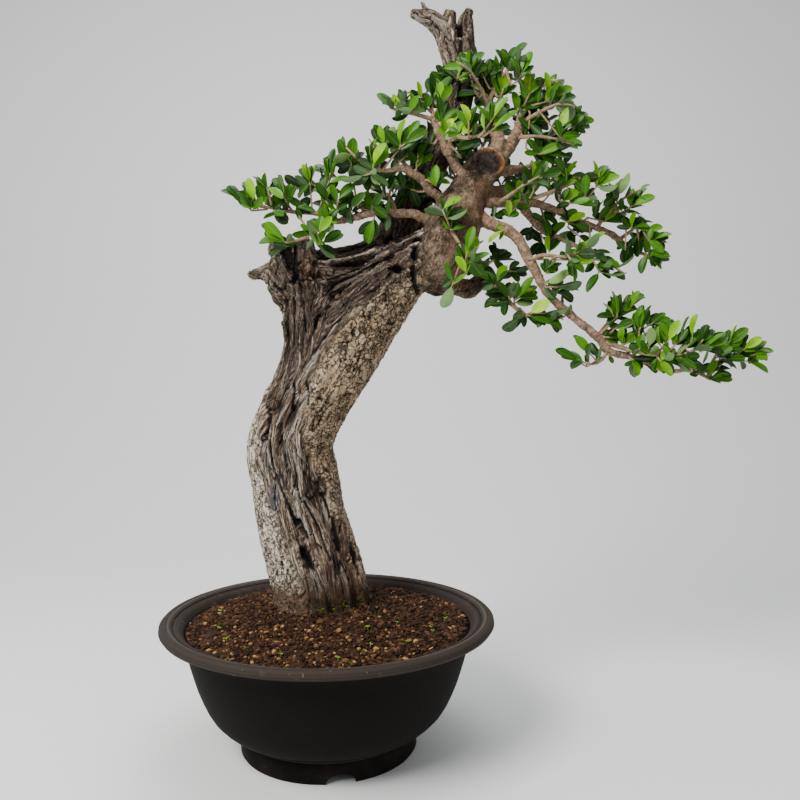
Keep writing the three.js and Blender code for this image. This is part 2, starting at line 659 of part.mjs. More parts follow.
// The corners of a blade with an oval outline, folded up a little along its rib and thickest
// under the middle of it, that droops to its tip. grow makes it larger all round.
function bladeCorners({ root, along, face, length }, grow = 0) {
  const across = along.clone().cross(face);
  const half = (LEAF.width * length) / 2 + grow;
  const fold = LEAF.fold * length + grow;
  const corner = (far, wide, high) =>
    root.clone().addScaledVector(along, far * length).addScaledVector(across, wide)
      .addScaledVector(face, high - LEAF.droop * length * far * far).toArray();
  return [
    corner(LEAF.base, -half, fold), corner(LEAF.base, half, fold),
    corner(LEAF.base + 0.1, 0, -LEAF.keel - grow),
    corner(LEAF.shoulder, 0.93 * half, fold), corner(LEAF.shoulder, -0.93 * half, fold),
    corner(1, 0, grow),
  ];
}
const BLADE_FACES = [[0, 1, 3], [0, 3, 4], [4, 3, 5], [2, 0, 4], [2, 4, 5], [2, 5, 3], [2, 3, 1]];
const BLADE_MOUTH = [1, 2, 0]; // its open end's corners, in the order of the side it grows from

// Grows a blade out of a triangular foot, joined with the least twist.
function addLeaf(leaf, foot, points, faces) {
  const first = points.length;
  points.push(...bladeCorners(leaf));
  for (const face of BLADE_FACES) faces.push(face.map((k) => first + k));
  const span = (shift) =>
    foot.reduce((sum, k, n) => {
      const corner = points[first + BLADE_MOUTH[(n + shift) % 3]];
      return sum + Math.hypot(...corner.map((value, axis) => value - points[k][axis]));
    }, 0);
  const shift = [0, 1, 2].reduce((best, other) => (span(other) < span(best) ? other : best));
  for (let n = 0; n < 3; n++) {
    const [a, b] = [foot[n], foot[(n + 1) % 3]];
    const [c, d] = [0, 1].map((step) => first + BLADE_MOUTH[(n + shift + step) % 3]);
    faces.push([a, b, d], [a, d, c]);
  }
}

// A blade by itself, drawn to a point at its root, for tests of room.
function bladeSolid(leaf, grow = 0) {
  const points = bladeCorners(leaf, grow);
  points.push(leaf.root.clone().addScaledVector(leaf.along, 0.5).toArray());
  return solidFrom(points, [...BLADE_FACES, [6, 1, 0], [6, 2, 1], [6, 0, 2]]);
}

// A spray's stem, shoots and leaves in one body, clear of the bodies already placed.
// limbs is the tree's wood with clearance, which the stem is seated on.
function spraySolid(spray, seed, limbs, placed) {
  const grown = [];
  const isClear = (leaf) => {
    if (meets(bladeSolid(leaf, FIT), [...placed, ...grown])) return false;
    grown.push(boxed(bladeSolid(leaf)));
    return true;
  };
  const stem = stemOf(spray);
  const forks = forksOf(spray, seed);
  const cuts = [0, ...forks, ...leafyCuts(stem, leafyPart(spray))];
  let shape = leafyTube(stem, cuts, spray.leaf, seed, isClear).subtract(limbs);
  forks.forEach((fork, k) => {
    const shoot = shootOf(spray, seed, fork, k);
    if (meets(loft(shoot, { sides: 4, rings: 2, outline: widened }), placed)) return;
    const twigCuts = [0, ...leafyCuts(shoot, shoot.length)];
    shape = shape.add(leafyTube(shoot, twigCuts, spray.leaf, seed + 7 * k + 7, isClear));
  });
  return shape;
}

function widened(angle, point, radius) {
  return radius + FIT;
}

function boxed(shape) {
  return { shape, box: shape.boundingBox() };
}

function meets(shape, placed) {
  const box = shape.boundingBox();
  return placed.some(
    (other) => !apart(box, other.box) && shape.intersect(other.shape).volume() > OVERLAP,
  );
}

function apart(a, b) {
  return [0, 1, 2].some((n) => a.max[n] < b.min[n] || b.max[n] < a.min[n]);
}

// ---------- the whole plant ----------
const FINISH = {
  pot: { color: 0x2e2623, roughness: 0.8 },
  mesh: { color: 0x2b3a2e, roughness: 0.6 },
  soil: { color: 0x4d3222, roughness: 1 },
  wood: { color: 0x8b7a66, roughness: 0.9 },
  leaves: { color: 0x4c8a2b, roughness: 0.45 },
};

const plant = new THREE.Group();

function addPiece(name, shape, finish) {
  const material = new THREE.MeshStandardMaterial({ ...FINISH[finish], metalness: 0 });
  const mesh = new THREE.Mesh(geometryOf(shape), material);
  mesh.name = name;
  plant.add(mesh);
}

const tree = wood();
addPiece("pot", pot(), "pot");
addPiece("drain_mesh", drainMesh(), "mesh");
addPiece("soil", soil(trunkHole()), "soil");
addPiece("trunk_and_limbs", tree, "wood");

// Each spray keeps clear of the wood, of the sprays before it and of the stems still to come.
const limbs = wood(FIT);
const placed = [boxed(limbs)];
const stems = Object.values(SPRAYS).map((spray) =>
  boxed(loft(stemOf(spray), { sides: 4, rings: 6, outline: widened })),
);
Object.entries(SPRAYS).forEach(([name, spray], number) => {
  const shape = spraySolid(spray, number + 1, limbs, [...placed, ...stems.slice(number + 1)]);
  placed.push(boxed(shape));
  addPiece("spray_" + name, shape, "leaves");
});

// The footprint's middle is the origin, on the surface that the pot stands on.
const footprint = new THREE.Box3().setFromObject(plant, true);
const middle = footprint.getCenter(new THREE.Vector3());
plant.position.set(-middle.x, -middle.y, 0);

const bonsai = new THREE.Group();
bonsai.add(plant);
export default bonsai;
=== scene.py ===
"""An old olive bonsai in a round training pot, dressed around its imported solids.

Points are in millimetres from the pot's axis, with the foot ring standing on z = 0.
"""

import math

import bmesh
import bpy
import numpy as np
from mathutils import Matrix, Vector, noise
from mathutils.bvhtree import BVHTree


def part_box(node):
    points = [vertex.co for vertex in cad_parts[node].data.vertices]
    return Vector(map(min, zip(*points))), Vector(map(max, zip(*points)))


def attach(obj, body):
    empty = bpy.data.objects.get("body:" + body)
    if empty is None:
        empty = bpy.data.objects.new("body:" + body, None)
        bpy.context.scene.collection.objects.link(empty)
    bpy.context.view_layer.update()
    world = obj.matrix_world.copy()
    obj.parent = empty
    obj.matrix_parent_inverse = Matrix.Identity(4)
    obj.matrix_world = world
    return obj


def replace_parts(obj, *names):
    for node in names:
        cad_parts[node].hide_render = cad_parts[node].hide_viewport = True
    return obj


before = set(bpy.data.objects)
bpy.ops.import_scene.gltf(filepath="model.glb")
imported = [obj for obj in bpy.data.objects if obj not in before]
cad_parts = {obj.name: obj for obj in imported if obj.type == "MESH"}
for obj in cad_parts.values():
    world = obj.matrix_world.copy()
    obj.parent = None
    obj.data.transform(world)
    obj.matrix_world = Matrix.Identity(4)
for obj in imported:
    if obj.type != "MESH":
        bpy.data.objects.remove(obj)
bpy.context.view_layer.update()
noise.seed_set(7)  # fixes noise_vector, which otherwise differs from run to run

MM = 0.001
TURN = 2 * math.pi
pot_low, pot_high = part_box("pot")
POT_AXIS = Vector(((pot_low.x + pot_high.x) / 2, (pot_low.y + pot_high.y) / 2, 0))
TO_FRAME = Matrix.Translation(POT_AXIS) @ Matrix.Scale(MM, 4)
UP = Vector((0, 0, 1))
# Places on the tree's front are given as [x, z] where a viewer at EYE sees them on an upright
# plane this far in front of the pot's axis, so that they can be laid out as in an elevation.
EYE = np.array((68.9, -740.4, 343.4))
FRONT = -40


def draw(seed, number):
    """The same seed and number always give the same draw from 0 to 1."""
    value = math.sin(seed * 12.9898 + number * 78.233) * 43758.5453
    return value - math.floor(value)


def mix(a, b, share):
    return a + (b - a) * share


def smooth_step(value, low, high):
    share = np.clip((value - low) / (high - low), 0, 1)
    return share * share * (3 - 2 * share)


# ---------- camera, light and floor ----------
SENSOR_WIDTH = 36
LENS = 34.2
LOOKS_DOWN = 0.013  # the camera's tilt in radians
TREE_MIDDLE = (60, 0, 350)
# Each soft light: place, aim, size in metres, watts and tint.
LAMPS = {
    "key": ((-850, -1050, 1450), (40, 0, 330), (0.8, 0.8), 48, (1, 0.985, 0.96)),
    "top": ((150, 150, 1900), TREE_MIDDLE, (1.4, 1.2), 18, (1, 1, 1)),
    "fill": ((1500, -900, 700), TREE_MIDDLE, (1.4, 1.6), 4, (0.95, 0.98, 1)),
}
SKY_TINT = (0.80, 0.82, 0.83, 1)
SKY_STRENGTH = 0.42
FLOOR_HALF = 4.5  # metres
WALL_AT = 1.6  # behind the pot, like the curve below in metres
WALL_CURVE = 0.9


def set_camera():
    data = bpy.data.cameras.new("camera")
    data.sensor_width = SENSOR_WIDTH
    data.lens = LENS
    data.clip_end = 20
    data.dof.use_dof = False
    camera = bpy.data.objects.new("camera", data)
    camera.location = TO_FRAME @ Vector(EYE)
    camera.rotation_euler = (math.pi / 2 - LOOKS_DOWN, 0, 0)
    bpy.context.scene.collection.objects.link(camera)
    bpy.context.scene.camera = camera


def softbox(name, place, aim, size, watts, tint):
    data = bpy.data.lights.new(name, "AREA")
    data.shape = "RECTANGLE"
    data.size, data.size_y = size
    data.energy = watts
    data.color = tint
    lamp = bpy.data.objects.new(name, data)
    lamp.location = TO_FRAME @ Vector(place)
    way = TO_FRAME @ Vector(aim) - lamp.location
    lamp.rotation_euler = way.to_track_quat("-Z", "Y").to_euler()
    bpy.context.scene.collection.objects.link(lamp)


def set_light():
    for name, settings in LAMPS.items():
        softbox(name, *settings)
    world = bpy.data.worlds.new("studio")
    world.use_nodes = True
    sky = world.node_tree.nodes["Background"]
    sky.inputs["Color"].default_value = SKY_TINT
    sky.inputs["Strength"].default_value = SKY_STRENGTH
    bpy.context.scene.world = world


def make_floor():
    """A sheet of paper that lies under the pot and curves up into a wall behind it."""
    shape = bmesh.new()
    bmesh.ops.create_grid(shape, x_segments=1, y_segments=1, size=FLOOR_HALF)
    far = [edge for edge in shape.edges if all(vert.co.y > 4 for vert in edge.verts)]
    for vert in {vert for edge in far for vert in edge.verts}:
        vert.co.y = WALL_AT
    risen = bmesh.ops.extrude_edge_only(shape, edges=far)["geom"]
    tops = [item for item in risen if isinstance(item, bmesh.types.BMVert)]
    bmesh.ops.translate(shape, vec=(0, 0, FLOOR_HALF), verts=tops)
    bmesh.ops.bevel(shape, geom=far, offset=WALL_CURVE, offset_type="OFFSET", segments=24, profile=0.5,
                    affect="EDGES", material=-1)
    shade_smooth(shape)
    mesh = mesh_of(shape)
    finish = Finish("studio_paper", Roughness=0.95)
    finish.shader.inputs["Base Color"].default_value = paint(240, 242, 241)
    mesh.materials.append(finish.material)
    floor = bpy.data.objects.new("studio_floor", mesh)
    bpy.context.scene.collection.objects.link(floor)


# ---------- finishes ----------
def paint(red, green, blue):
    """A display colour, 0 to 255, as the linear colour that a shader takes."""
    def linear(value):
        share = value / 255
        return share / 12.92 if share <= 0.04045 else ((share + 0.055) / 1.055) ** 2.4
    return (linear(red), linear(green), linear(blue), 1)


class Signal:
    """A value on its way through a finish's nodes, so that shader maths reads as Python."""

    def __init__(self, finish, socket):
        self.finish = finish
        self.socket = socket

    def maths(self, operation, *values):
        return self.finish.add("ShaderNodeMath", {"operation": operation}, dict(enumerate(values)))

    def __add__(self, other):
        return self.maths("ADD", self, other)

    def __radd__(self, other):
        return self.maths("ADD", other, self)

    def __sub__(self, other):
        return self.maths("SUBTRACT", self, other)

    def __rsub__(self, other):
        return self.maths("SUBTRACT", other, self)

    def __mul__(self, other):
        return self.maths("MULTIPLY", self, other)

    def __rmul__(self, other):
        return self.maths("MULTIPLY", other, self)

    def __pow__(self, other):
        return self.maths("POWER", self, other)

    def between(self, low, high):
        """0 below low, 1 above high and a soft slope between them."""
        settings = {"interpolation_type": "SMOOTHSTEP"}
        return self.finish.add("ShaderNodeMapRange", settings, {0: self, 1: low, 2: high, 3: 0, 4: 1})

    def swing(self, amount):
        """The value about its middle, this strongly."""
        return (self - 0.5) * amount

    def crease(self, wide, narrow):
        """1 where the value crosses its middle, falling to 0 this far from it."""
        return self.maths("ABSOLUTE", self - 0.5).between(wide, narrow)


class Finish:
    """A material, and the ways to add to its nodes."""

    def __init__(self, name, **constants):
        self.material = bpy.data.materials.new(name)
        self.material.use_nodes = True
        self.nodes = self.material.node_tree.nodes
        self.links = self.material.node_tree.links
        self.shader = self.nodes["Principled BSDF"]
        for socket, value in constants.items():
            self.shader.inputs[socket.replace("_", " ")].default_value = value

    def add(self, kind, settings=None, values=None, output=0):
        node = self.nodes.new(kind)
        for name, value in (settings or {}).items():
            setattr(node, name, value)
        for key, value in (values or {}).items():
            self.feed(node.inputs[key], value)
        return Signal(self, node.outputs[output])

    def feed(self, socket, value):
        if isinstance(value, Signal):
            self.links.new(value.socket, socket)
        else:
            socket.default_value = value

    def millimetres(self):
        return self.scaled(self.add("ShaderNodeTexCoord", output="Object"), (1000, 1000, 1000))

    def scaled(self, vector, factors):
        return self.add("ShaderNodeVectorMath", {"operation": "MULTIPLY"}, {0: vector, 1: factors})

    def shifted(self, vector, other):
        return self.add("ShaderNodeVectorMath", {"operation": "ADD"}, {0: vector, 1: other})

    def clamped(self, value):
        return self.add("ShaderNodeClamp", values={0: value})

    def split(self, vector, axis):
        return self.add("ShaderNodeSeparateXYZ", values={0: vector}, output=axis)

    def attribute(self, name, output="Fac"):
        return self.add("ShaderNodeAttribute", {"attribute_name": name}, output=output)

    def noise(self, vector, size, detail=3.0, rough=0.55):
        """Cloudy noise from 0 to 1, with lumps of about this size in the vector's units."""
        values = {"Vector": vector, "Scale": 1 / size, "Detail": detail, "Roughness": rough}
        return self.add("ShaderNodeTexNoise", {"noise_dimensions": "3D"}, values)

    def plate_edge(self, vector, size):
        """How far each place is from the nearest edge between plates of about this size."""
        values = {"Vector": vector, "Scale": 1 / size}
        return self.add("ShaderNodeTexVoronoi", {"feature": "DISTANCE_TO_EDGE"}, values, "Distance")

    def ramp(self, factor, *stops):
        """The colour at this factor between stops, each given as (position, red, green, blue)."""
        result = self.add("ShaderNodeValToRGB", values={0: factor})
        elements = result.socket.node.color_ramp.elements
        while len(elements) < len(stops):
            elements.new(0.5)
        for element, (position, *color) in zip(elements, stops):
            element.position = position
            element.color = paint(*color)
        return result

    def blend(self, factor, first, second):
        settings = {"data_type": "RGBA", "blend_type": "MIX"}
        return self.add("ShaderNodeMix", settings, {0: factor, 6: first, 7: second}, output=2)

    def bump(self, height, distance_mm, strength=1.0):
        values = {"Height": height, "Distance": distance_mm * MM, "Strength": strength}
        return self.add("ShaderNodeBump", values=values)

    def wear(self, color, roughness, normal):
        self.feed(self.shader.inputs["Base Color"], color)
        self.feed(self.shader.inputs["Roughness"], roughness)
        self.feed(self.shader.inputs["Normal"], normal)
        return self.material


# ---------- making pieces ----------
def new_piece(name, shape, material):
    """A finished piece from a bmesh in millimetres about the pot's axis."""
    mesh = mesh_of(shape)
    mesh.name = name
    mesh.transform(TO_FRAME)
    mesh.materials.append(material)
    piece = bpy.data.objects.new(name, mesh)
    bpy.context.scene.collection.objects.link(piece)
    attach(piece, "root")
    return piece


def mesh_of(shape):
    mesh = bpy.data.meshes.new("part")
    shape.to_mesh(mesh)
    shape.free()
    return mesh


def applied(mesh, *modifiers):
    """The mesh after these modifiers, each given as (kind, settings)."""
    carrier = bpy.data.objects.new("carrier", mesh)
    bpy.context.scene.collection.objects.link(carrier)
    for kind, settings in modifiers:
        modifier = carrier.modifiers.new(kind.lower(), kind)
        for setting, value in settings.items():
            setattr(modifier, setting, value)
    graph = bpy.context.evaluated_depsgraph_get()
    result = bpy.data.meshes.new_from_object(carrier.evaluated_get(graph))
    bpy.data.objects.remove(carrier)
    return result


def vectors(mesh, field):
    """Each vertex's place or normal: field is "co" or "normal"."""
    values = np.empty(len(mesh.vertices) * 3, dtype=np.float32)
    mesh.vertices.foreach_get(field, values)
    return values.reshape(-1, 3)


def store(mesh, name, values):
    """Keeps a value at each vertex for the finish to read."""
    values = np.asarray(values, dtype=np.float32)
    if values.ndim == 2:
        mesh.attributes.new(name, "FLOAT_VECTOR", "POINT").data.foreach_set("vector", values.ravel())
    else:
        mesh.attributes.new(name, "FLOAT", "POINT").data.foreach_set("value", values)


def shape_with(*layers):
    """An empty bmesh whose vertices carry these values."""
    shape = bmesh.new()
    for layer in layers:
        shape.verts.layers.float.new(layer)
    return shape


def shade_smooth(shape, sharp_degrees=180.0):
    for face in shape.faces:
        face.smooth = True
    limit = math.radians(sharp_degrees)
    for edge in shape.edges:
        edge.smooth = edge.calc_face_angle(0) < limit


def spun(outline, closed, steps):
    """A round shape from its outline of (radius, height)."""
    shape = bmesh.new()
    verts = [shape.verts.new((radius, 0, height)) for radius, height in outline]
    ends = verts[1:] + verts[:1] if closed else verts[1:]
    edges = [shape.edges.new(pair) for pair in zip(verts, ends)]
    bmesh.ops.spin(shape, geom=verts + edges, axis=(0, 0, 1), cent=(0, 0, 0), angle=TURN, steps=steps,
                   use_merge=True, use_duplicate=False)
    return shape


class Stamp:
    """A small shape that is stamped many times into a bmesh, each time placed by a matrix."""

    def __init__(self, shape, *names):
        self.mesh = mesh_of(shape)
        self.names = names
        for name in names:
            if name not in self.mesh.attributes:
                self.mesh.attributes.new(name, "FLOAT", "POINT")
        self.rest = vectors(self.mesh, "co").ravel()

    def press(self, target, place, *values):
        self.mesh.vertices.foreach_set("co", self.rest)
        self.mesh.transform(place)
        for name, value in zip(self.names, values):
            whole = np.full(len(self.mesh.vertices), value, dtype=np.float32)
            self.mesh.attributes[name].data.foreach_set("value", whole)
        target.from_mesh(self.mesh)


# ---------- paths and tubes ----------
class Path:
    """A smooth path through given points [x, y, z, radius], whose frame twists as little as it can."""

    STEPS = 12

    def __init__(self, points):
        table = np.array(points, dtype=float)
        count = len(table)
        samples = []
        for k in range(count - 1):
            a, b, c, d = table[[max(k - 1, 0), k, k + 1, min(k + 2, count - 1)]]
            for t in np.arange(self.STEPS) / self.STEPS:
                bend = 2 * a - 5 * b + 4 * c - d + t * (3 * (b - c) + d - a)
                samples.append(b + 0.5 * t * (c - a + t * bend))
        samples.append(table[-1])
        samples = np.array(samples)
        self.spots, self.radii = samples[:, :3], samples[:, 3]
        steps = np.diff(self.spots, axis=0)
        lengths = np.linalg.norm(steps, axis=1)
        self.reach = np.concatenate([[0], np.cumsum(lengths)])
        self.length = self.reach[-1]
        ways = steps / lengths[:, None]
        self.ways = np.vstack([ways, ways[-1]])
        across = np.array((0.0, 1.0, 0.0) if abs(self.ways[0][0]) > 0.8 else (1.0, 0.0, 0.0))
        self.across = np.empty_like(self.spots)
        for i, way in enumerate(self.ways):
            across = across - way * across.dot(way)
            across /= np.linalg.norm(across)
            self.across[i] = across
        self.away = np.cross(self.ways, self.across)

    def at(self, distance):
        """The point, radius, way, across and away at this distance along the path."""
        distance = min(max(distance, 0), self.length)
        i = int(np.clip(np.searchsorted(self.reach, distance), 1, len(self.reach) - 1))
        share = (distance - self.reach[i - 1]) / (self.reach[i] - self.reach[i - 1])
        point = Vector(mix(self.spots[i - 1], self.spots[i], share))
        way = Vector(self.ways[i - 1])
        across = Vector(mix(self.across[i - 1], self.across[i], share))
        across = (across - way * across.dot(way)).normalized()
        return point, mix(self.radii[i - 1], self.radii[i], share), way, across, way.cross(across)


def tube(path, sides, rings, outline):
    """A closed tube round a path. outline(angle, point, radius) is how far its wall is from the path."""
    shape = bmesh.new()
    bmesh.ops.create_cone(shape, cap_ends=True, segments=sides, radius1=1, radius2=1, depth=1)
    upright = [edge for edge in shape.edges if abs(edge.verts[0].co.z - edge.verts[1].co.z) > 0.5]
    if rings > 2:
        bmesh.ops.subdivide_edges(shape, edges=upright, cuts=rings - 2, use_grid_fill=True)
    for vert in shape.verts:
        point, radius, way, across, away = path.at((vert.co.z + 0.5) * path.length)
        angle = math.atan2(vert.co.y, vert.co.x) % TURN
        size = outline(angle, point, radius)
        vert.co = point + across * size * math.cos(angle) + away * size * math.sin(angle)
    return shape


def plain(angle, point, radius):
    return radius


# ---------- pot ----------
# The pot's wall as (radius, height): the foot ring, the bowl's outside, the rolled lip and the inside.
POT_PROFILE = [
    (72, 0), (84, 0), (85, 1.5), (85.2, 17), (84.6, 18.5), (87.8, 20.2), (89, 22.2), (88.4, 23.6),
    (90, 25.2), (93.5, 27), (101, 28.8), (106.5, 33.6), (112, 39.5), (117, 47.5), (121, 56),
    (125.3, 66.5), (129, 78), (132, 88), (134.5, 98), (138.5, 113.5), (140.5, 116.2), (146, 117),
    (154, 117.3), (158, 118.6), (160, 121.5), (159.6, 124.3), (157.6, 126.3), (154.5, 126.9),
    (151, 126.3), (148.6, 124.8), (147.4, 123.5), (146.2, 123.7), (145, 124.1), (142.5, 123),
    (139.5, 120.6), (137.5, 118.2), (136.6, 116), (131, 104), (118, 64), (100, 36), (84, 24), (10, 24),
    (10, 15), (68, 14), (71.5, 12),
]
POT_STEPS = 160
NOTCHES = (-78, 42, 162)  # where drain notches cut the foot ring, in degrees
NOTCH_HALF = (13.3, 9.6)  # half a notch's width, and its height
NOTCH_AT = 80
NOTCH_DEPTH = 30


def make_pot():
    shape = spun(POT_PROFILE, True, POT_STEPS)
    bmesh.ops.recalc_face_normals(shape, faces=shape.faces)
    cutters = bmesh.new()
    lay = Matrix.Rotation(math.pi / 2, 4, "Y")
    oval = Matrix.Diagonal((1, *NOTCH_HALF, 1))
    for degrees in NOTCHES:
        turn = Matrix.Rotation(math.radians(degrees), 4, "Z")
        place = turn @ Matrix.Translation((NOTCH_AT, 0, 0)) @ oval @ lay
        bmesh.ops.create_cone(cutters, cap_ends=True, segments=32, radius1=1, radius2=1, depth=NOTCH_DEPTH,
                              matrix=place)
    cutter = bpy.data.objects.new("notch_cutter", mesh_of(cutters))
    bpy.context.scene.collection.objects.link(cutter)
    settings = {"object": cutter, "operation": "DIFFERENCE", "solver": "EXACT"}
    cut = applied(mesh_of(shape), ("BOOLEAN", settings))
    bpy.data.objects.remove(cutter)
    shape = bmesh.new()
    shape.from_mesh(cut)
    shade_smooth(shape, 38)
    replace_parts(new_piece("clay_pot", shape, pot_finish()), "pot")


def pot_finish():
    """Dark clay, dusty and with painted sheen towards the foot, with a paler lip that is worn and scuffed
    and has painted shade and highlights.
    """
    finish = Finish("dark_clay", Specular_IOR_Level=0.12)
    centred = finish.shifted(finish.millimetres(), tuple(-POT_AXIS / MM))
    x, y, height = (finish.split(centred, axis) for axis in range(3))
    radius = (x * x + y * y) ** 0.5
    turned = finish.add("ShaderNodeCombineXYZ", values={0: radius * 1.6, 1: height * 1.6})
    rings = finish.noise(turned, 3.0, 2)
    cloud = finish.noise(centred, 38, 4, 0.6)
    grain = finish.noise(centred, 1.3, 3, 0.6)
    rim = height.between(112, 119) * radius.between(133, 139)
    body = finish.blend(cloud.between(0.3, 0.75), paint(11, 8, 7), paint(17, 13, 12))
    ringed = rings.between(0.3, 0.7)
    lip = finish.blend(ringed, paint(38, 31, 27), paint(56, 48, 43))
    color = finish.blend(rim, body, lip)
    # Painted shade along the small channel on the lip.
    lip_groove_shade = radius.between(145.6, 147.2) * radius.between(149.2, 147.6) * rim
    color = finish.blend(lip_groove_shade * 0.7, color, paint(16, 13, 12))
    # Painted highlight along the top of the rolled lip.
    edge = radius.between(148.6, 151) * radius.between(154, 151.6) * rim
    color = finish.blend(edge * ringed * 0.5, color, paint(96, 88, 80))
    worn = finish.noise(centred, 22, 4, 0.62).between(0.58, 0.72) * rim
    color = finish.blend(worn * 0.5, color, paint(88, 78, 68))
    scratches = finish.noise(centred, 4, 4, 0.7).between(0.63, 0.7)
    scuff = scratches * finish.noise(centred, 50, 2).between(0.5, 0.6) * rim
    color = finish.blend(scuff * 0.6, color, paint(150, 136, 120))
    # Lighter towards the foot: dusty, and painted sheen; a painted highlight on the ridge line above the
    # foot.
    dust_and_sheen = height.between(34, 2) * cloud.between(0.4, 0.7)
    bead_highlight = height.between(18.5, 20) * height.between(26.5, 23)
    color = finish.blend(finish.clamped(dust_and_sheen * 0.35 + bead_highlight * 0.3), color, paint(56, 46, 38))
    color = finish.blend(grain.between(0.62, 0.8) * 0.2, color, paint(78, 68, 58))
    bumps = grain * 0.5 + rings * 0.35 + cloud * 0.6
    return finish.wear(color, 0.75 + 0.2 * cloud - 0.12 * rim, finish.bump(bumps, 0.35, 0.8))


def finish_drain_mesh():
    finish = Finish("moulded_mesh", Roughness=0.55)
    cloud = finish.noise(finish.millimetres(), 4, 3)
    color = finish.blend(cloud, paint(30, 42, 32), paint(52, 66, 50))
    material = finish.wear(color, 0.5 + 0.25 * cloud, finish.bump(cloud, 0.2, 0.5))
    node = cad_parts["drain_mesh"]
    node.data.materials.clear()
    node.data.materials.append(material)


# ---------- soil ----------
SOIL_RADIUS = 135.5
SOIL_EDGE = 118
SOIL_DOME = 22
# The bed's underside and side as (radius, height), just inside the pot.
SOIL_UNDER = [
    (0, 26), (22, 26), (22, 24.5), (83.5, 24.5), (99.5, 36.4), (117.5, 64.4), (130.5, 104.4),
    (SOIL_RADIUS, 116.5),
]
CRUMBS_OVER_BED = 1.5  # how far the bed lies below the tops of the crumbs
CRUMB_REACH = 134  # how far from the pot's axis crumbs lie
TRUNK_FREE = (7, 38)  # how far left of the pot's axis the trunk's middle is, and how far out crumbs start
GRAIN_PIECES = 2
GRAINS_EACH = 5600
FINES = 9000
STRAWS = 110
GRAIN_SIZES = (  # from, to and share
    (0.45, 0.8, 0.3), (0.8, 1.25, 0.4), (1.25, 1.8, 0.21), (1.8, 2.4, 0.075), (2.4, 2.9, 0.015),
)


def soil_height(radius):
    return SOIL_EDGE + SOIL_DOME * (1 - (radius / SOIL_RADIUS) ** 1.7)


def soil_lumps(spot):
    return 1.8 * noise.noise(spot / 9) + 1.2 * noise.noise(spot / 30)


def soil_top(x, y):
    lump = soil_lumps(Vector((x, y, 130)))
    return soil_height(math.hypot(x, y)) - CRUMBS_OVER_BED + lump


def make_soil():
    rings = [*range(132, 0, -6), 0]
    outline = SOIL_UNDER + [(radius, soil_height(radius) - CRUMBS_OVER_BED) for radius in rings]
    shape = spun(outline, False, 120)
    bmesh.ops.remove_doubles(shape, verts=shape.verts, dist=0.01)
    bmesh.ops.recalc_face_normals(shape, faces=shape.faces)
    tone = shape.verts.layers.float.new("tone")
    for vert in shape.verts:
        vert[tone] = 0.3 + 0.35 * noise.noise(vert.co / 5)
        if vert.co.z > 112:
            vert.co.z += soil_lumps(vert.co)
    shade_smooth(shape)
    finish = soil_finish()
    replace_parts(new_piece("soil_bed", shape, finish), "soil")
    for number in range(GRAIN_PIECES):
        new_piece("soil_grains_%d" % number, grains(number), finish)
    new_piece("soil_fines", fines(), finish)
    new_piece("straw_flakes", straw(), finish)


def soil_spot(rng):
    """A random place on the soil that the trunk leaves free."""
    while True:
        radius, angle = CRUMB_REACH * math.sqrt(rng.random()), rng.uniform(0, TURN)
        x, y = radius * math.cos(angle), radius * math.sin(angle)
        if math.hypot(x + TRUNK_FREE[0], y) > TRUNK_FREE[1]:
            return x, y


def random_turn(rng, tilt, axis):
    """Turned any way round, and tilted about an axis by up to this many radians."""
    return Matrix.Rotation(rng.uniform(0, 6.3), 4, "Z") @ Matrix.Rotation(rng.uniform(-tilt, tilt), 4, axis)


def grain_stamp(seed, coarse=False):
    """A rough crumb of about radius 1."""
    shape = bmesh.new()
    if coarse:
        bmesh.ops.create_uvsphere(shape, u_segments=4, v_segments=2, radius=1)
    else:
        bmesh.ops.create_icosphere(shape, subdivisions=1, radius=1)
    for vert in shape.verts:
        vert.co *= 0.72 + 0.5 * draw(vert.index + 1, seed)
    return Stamp(shape, "tone")


def grains(number):
    """Loose crumbs over the whole bed, a few of them large and pale."""
    rng = np.random.default_rng(11 + number)
    stamps = [grain_stamp(seed) for seed in range(4)]
    bed = shape_with("tone")
    shares = [sizes[2] for sizes in GRAIN_SIZES]
    for unused in range(GRAINS_EACH):
        x, y = soil_spot(rng)
        smallest, largest, share = GRAIN_SIZES[rng.choice(len(shares), p=shares)]
        size = rng.uniform(smallest, largest)
        pale = size > 1.1 and rng.random() < 0.04 + 0.14 * smooth_step(-y, 30, 125)
        tone = rng.uniform(0.72, 1) if pale else rng.uniform(0, 0.68)
        spot = Vector((x, y, soil_top(x, y) + 0.35 * size + rng.uniform(-0.3, 1.0)))
        turn = random_turn(rng, 0.8, "X")
        squash = Matrix.Diagonal((size * rng.uniform(0.9, 1.5), size, size * rng.uniform(0.55, 0.95), 1))
        stamps[rng.integers(len(stamps))].press(bed, Matrix.Translation(spot) @ turn @ squash, tone)
    return bed


def fines():
    """Small grit between the crumbs."""
    rng = np.random.default_rng(31)
    stamps = [grain_stamp(seed, coarse=True) for seed in range(12, 16)]
    bed = shape_with("tone")
    for unused in range(FINES):
        x, y = soil_spot(rng)
        size = rng.uniform(0.45, 1.05)
        spot = Vector((x, y, soil_top(x, y) + rng.uniform(-0.1, 0.9)))
        turn = random_turn(rng, 0.8, "X")
        tone = rng.uniform(0.15, 0.75)
        place = Matrix.Translation(spot) @ turn @ Matrix.Scale(size, 4)
        stamps[rng.integers(len(stamps))].press(bed, place, tone)
    return bed


def straw():
    """Flat bits of straw and bark that lie on the crumbs."""
    rng = np.random.default_rng(5)
    stamp = grain_stamp(9)
    bed = shape_with("tone")
    for unused in range(STRAWS):
        x, y = soil_spot(rng)
        spot = Vector((x, y, soil_top(x, y) + 1.3))
        turn = random_turn(rng, 0.3, "Y")
        flat = Matrix.Diagonal((rng.uniform(2, 5.5), rng.uniform(0.4, 1.0), 0.35, 1))
        stamp.press(bed, Matrix.Translation(spot) @ turn @ flat, rng.uniform(0.6, 1))
    return bed


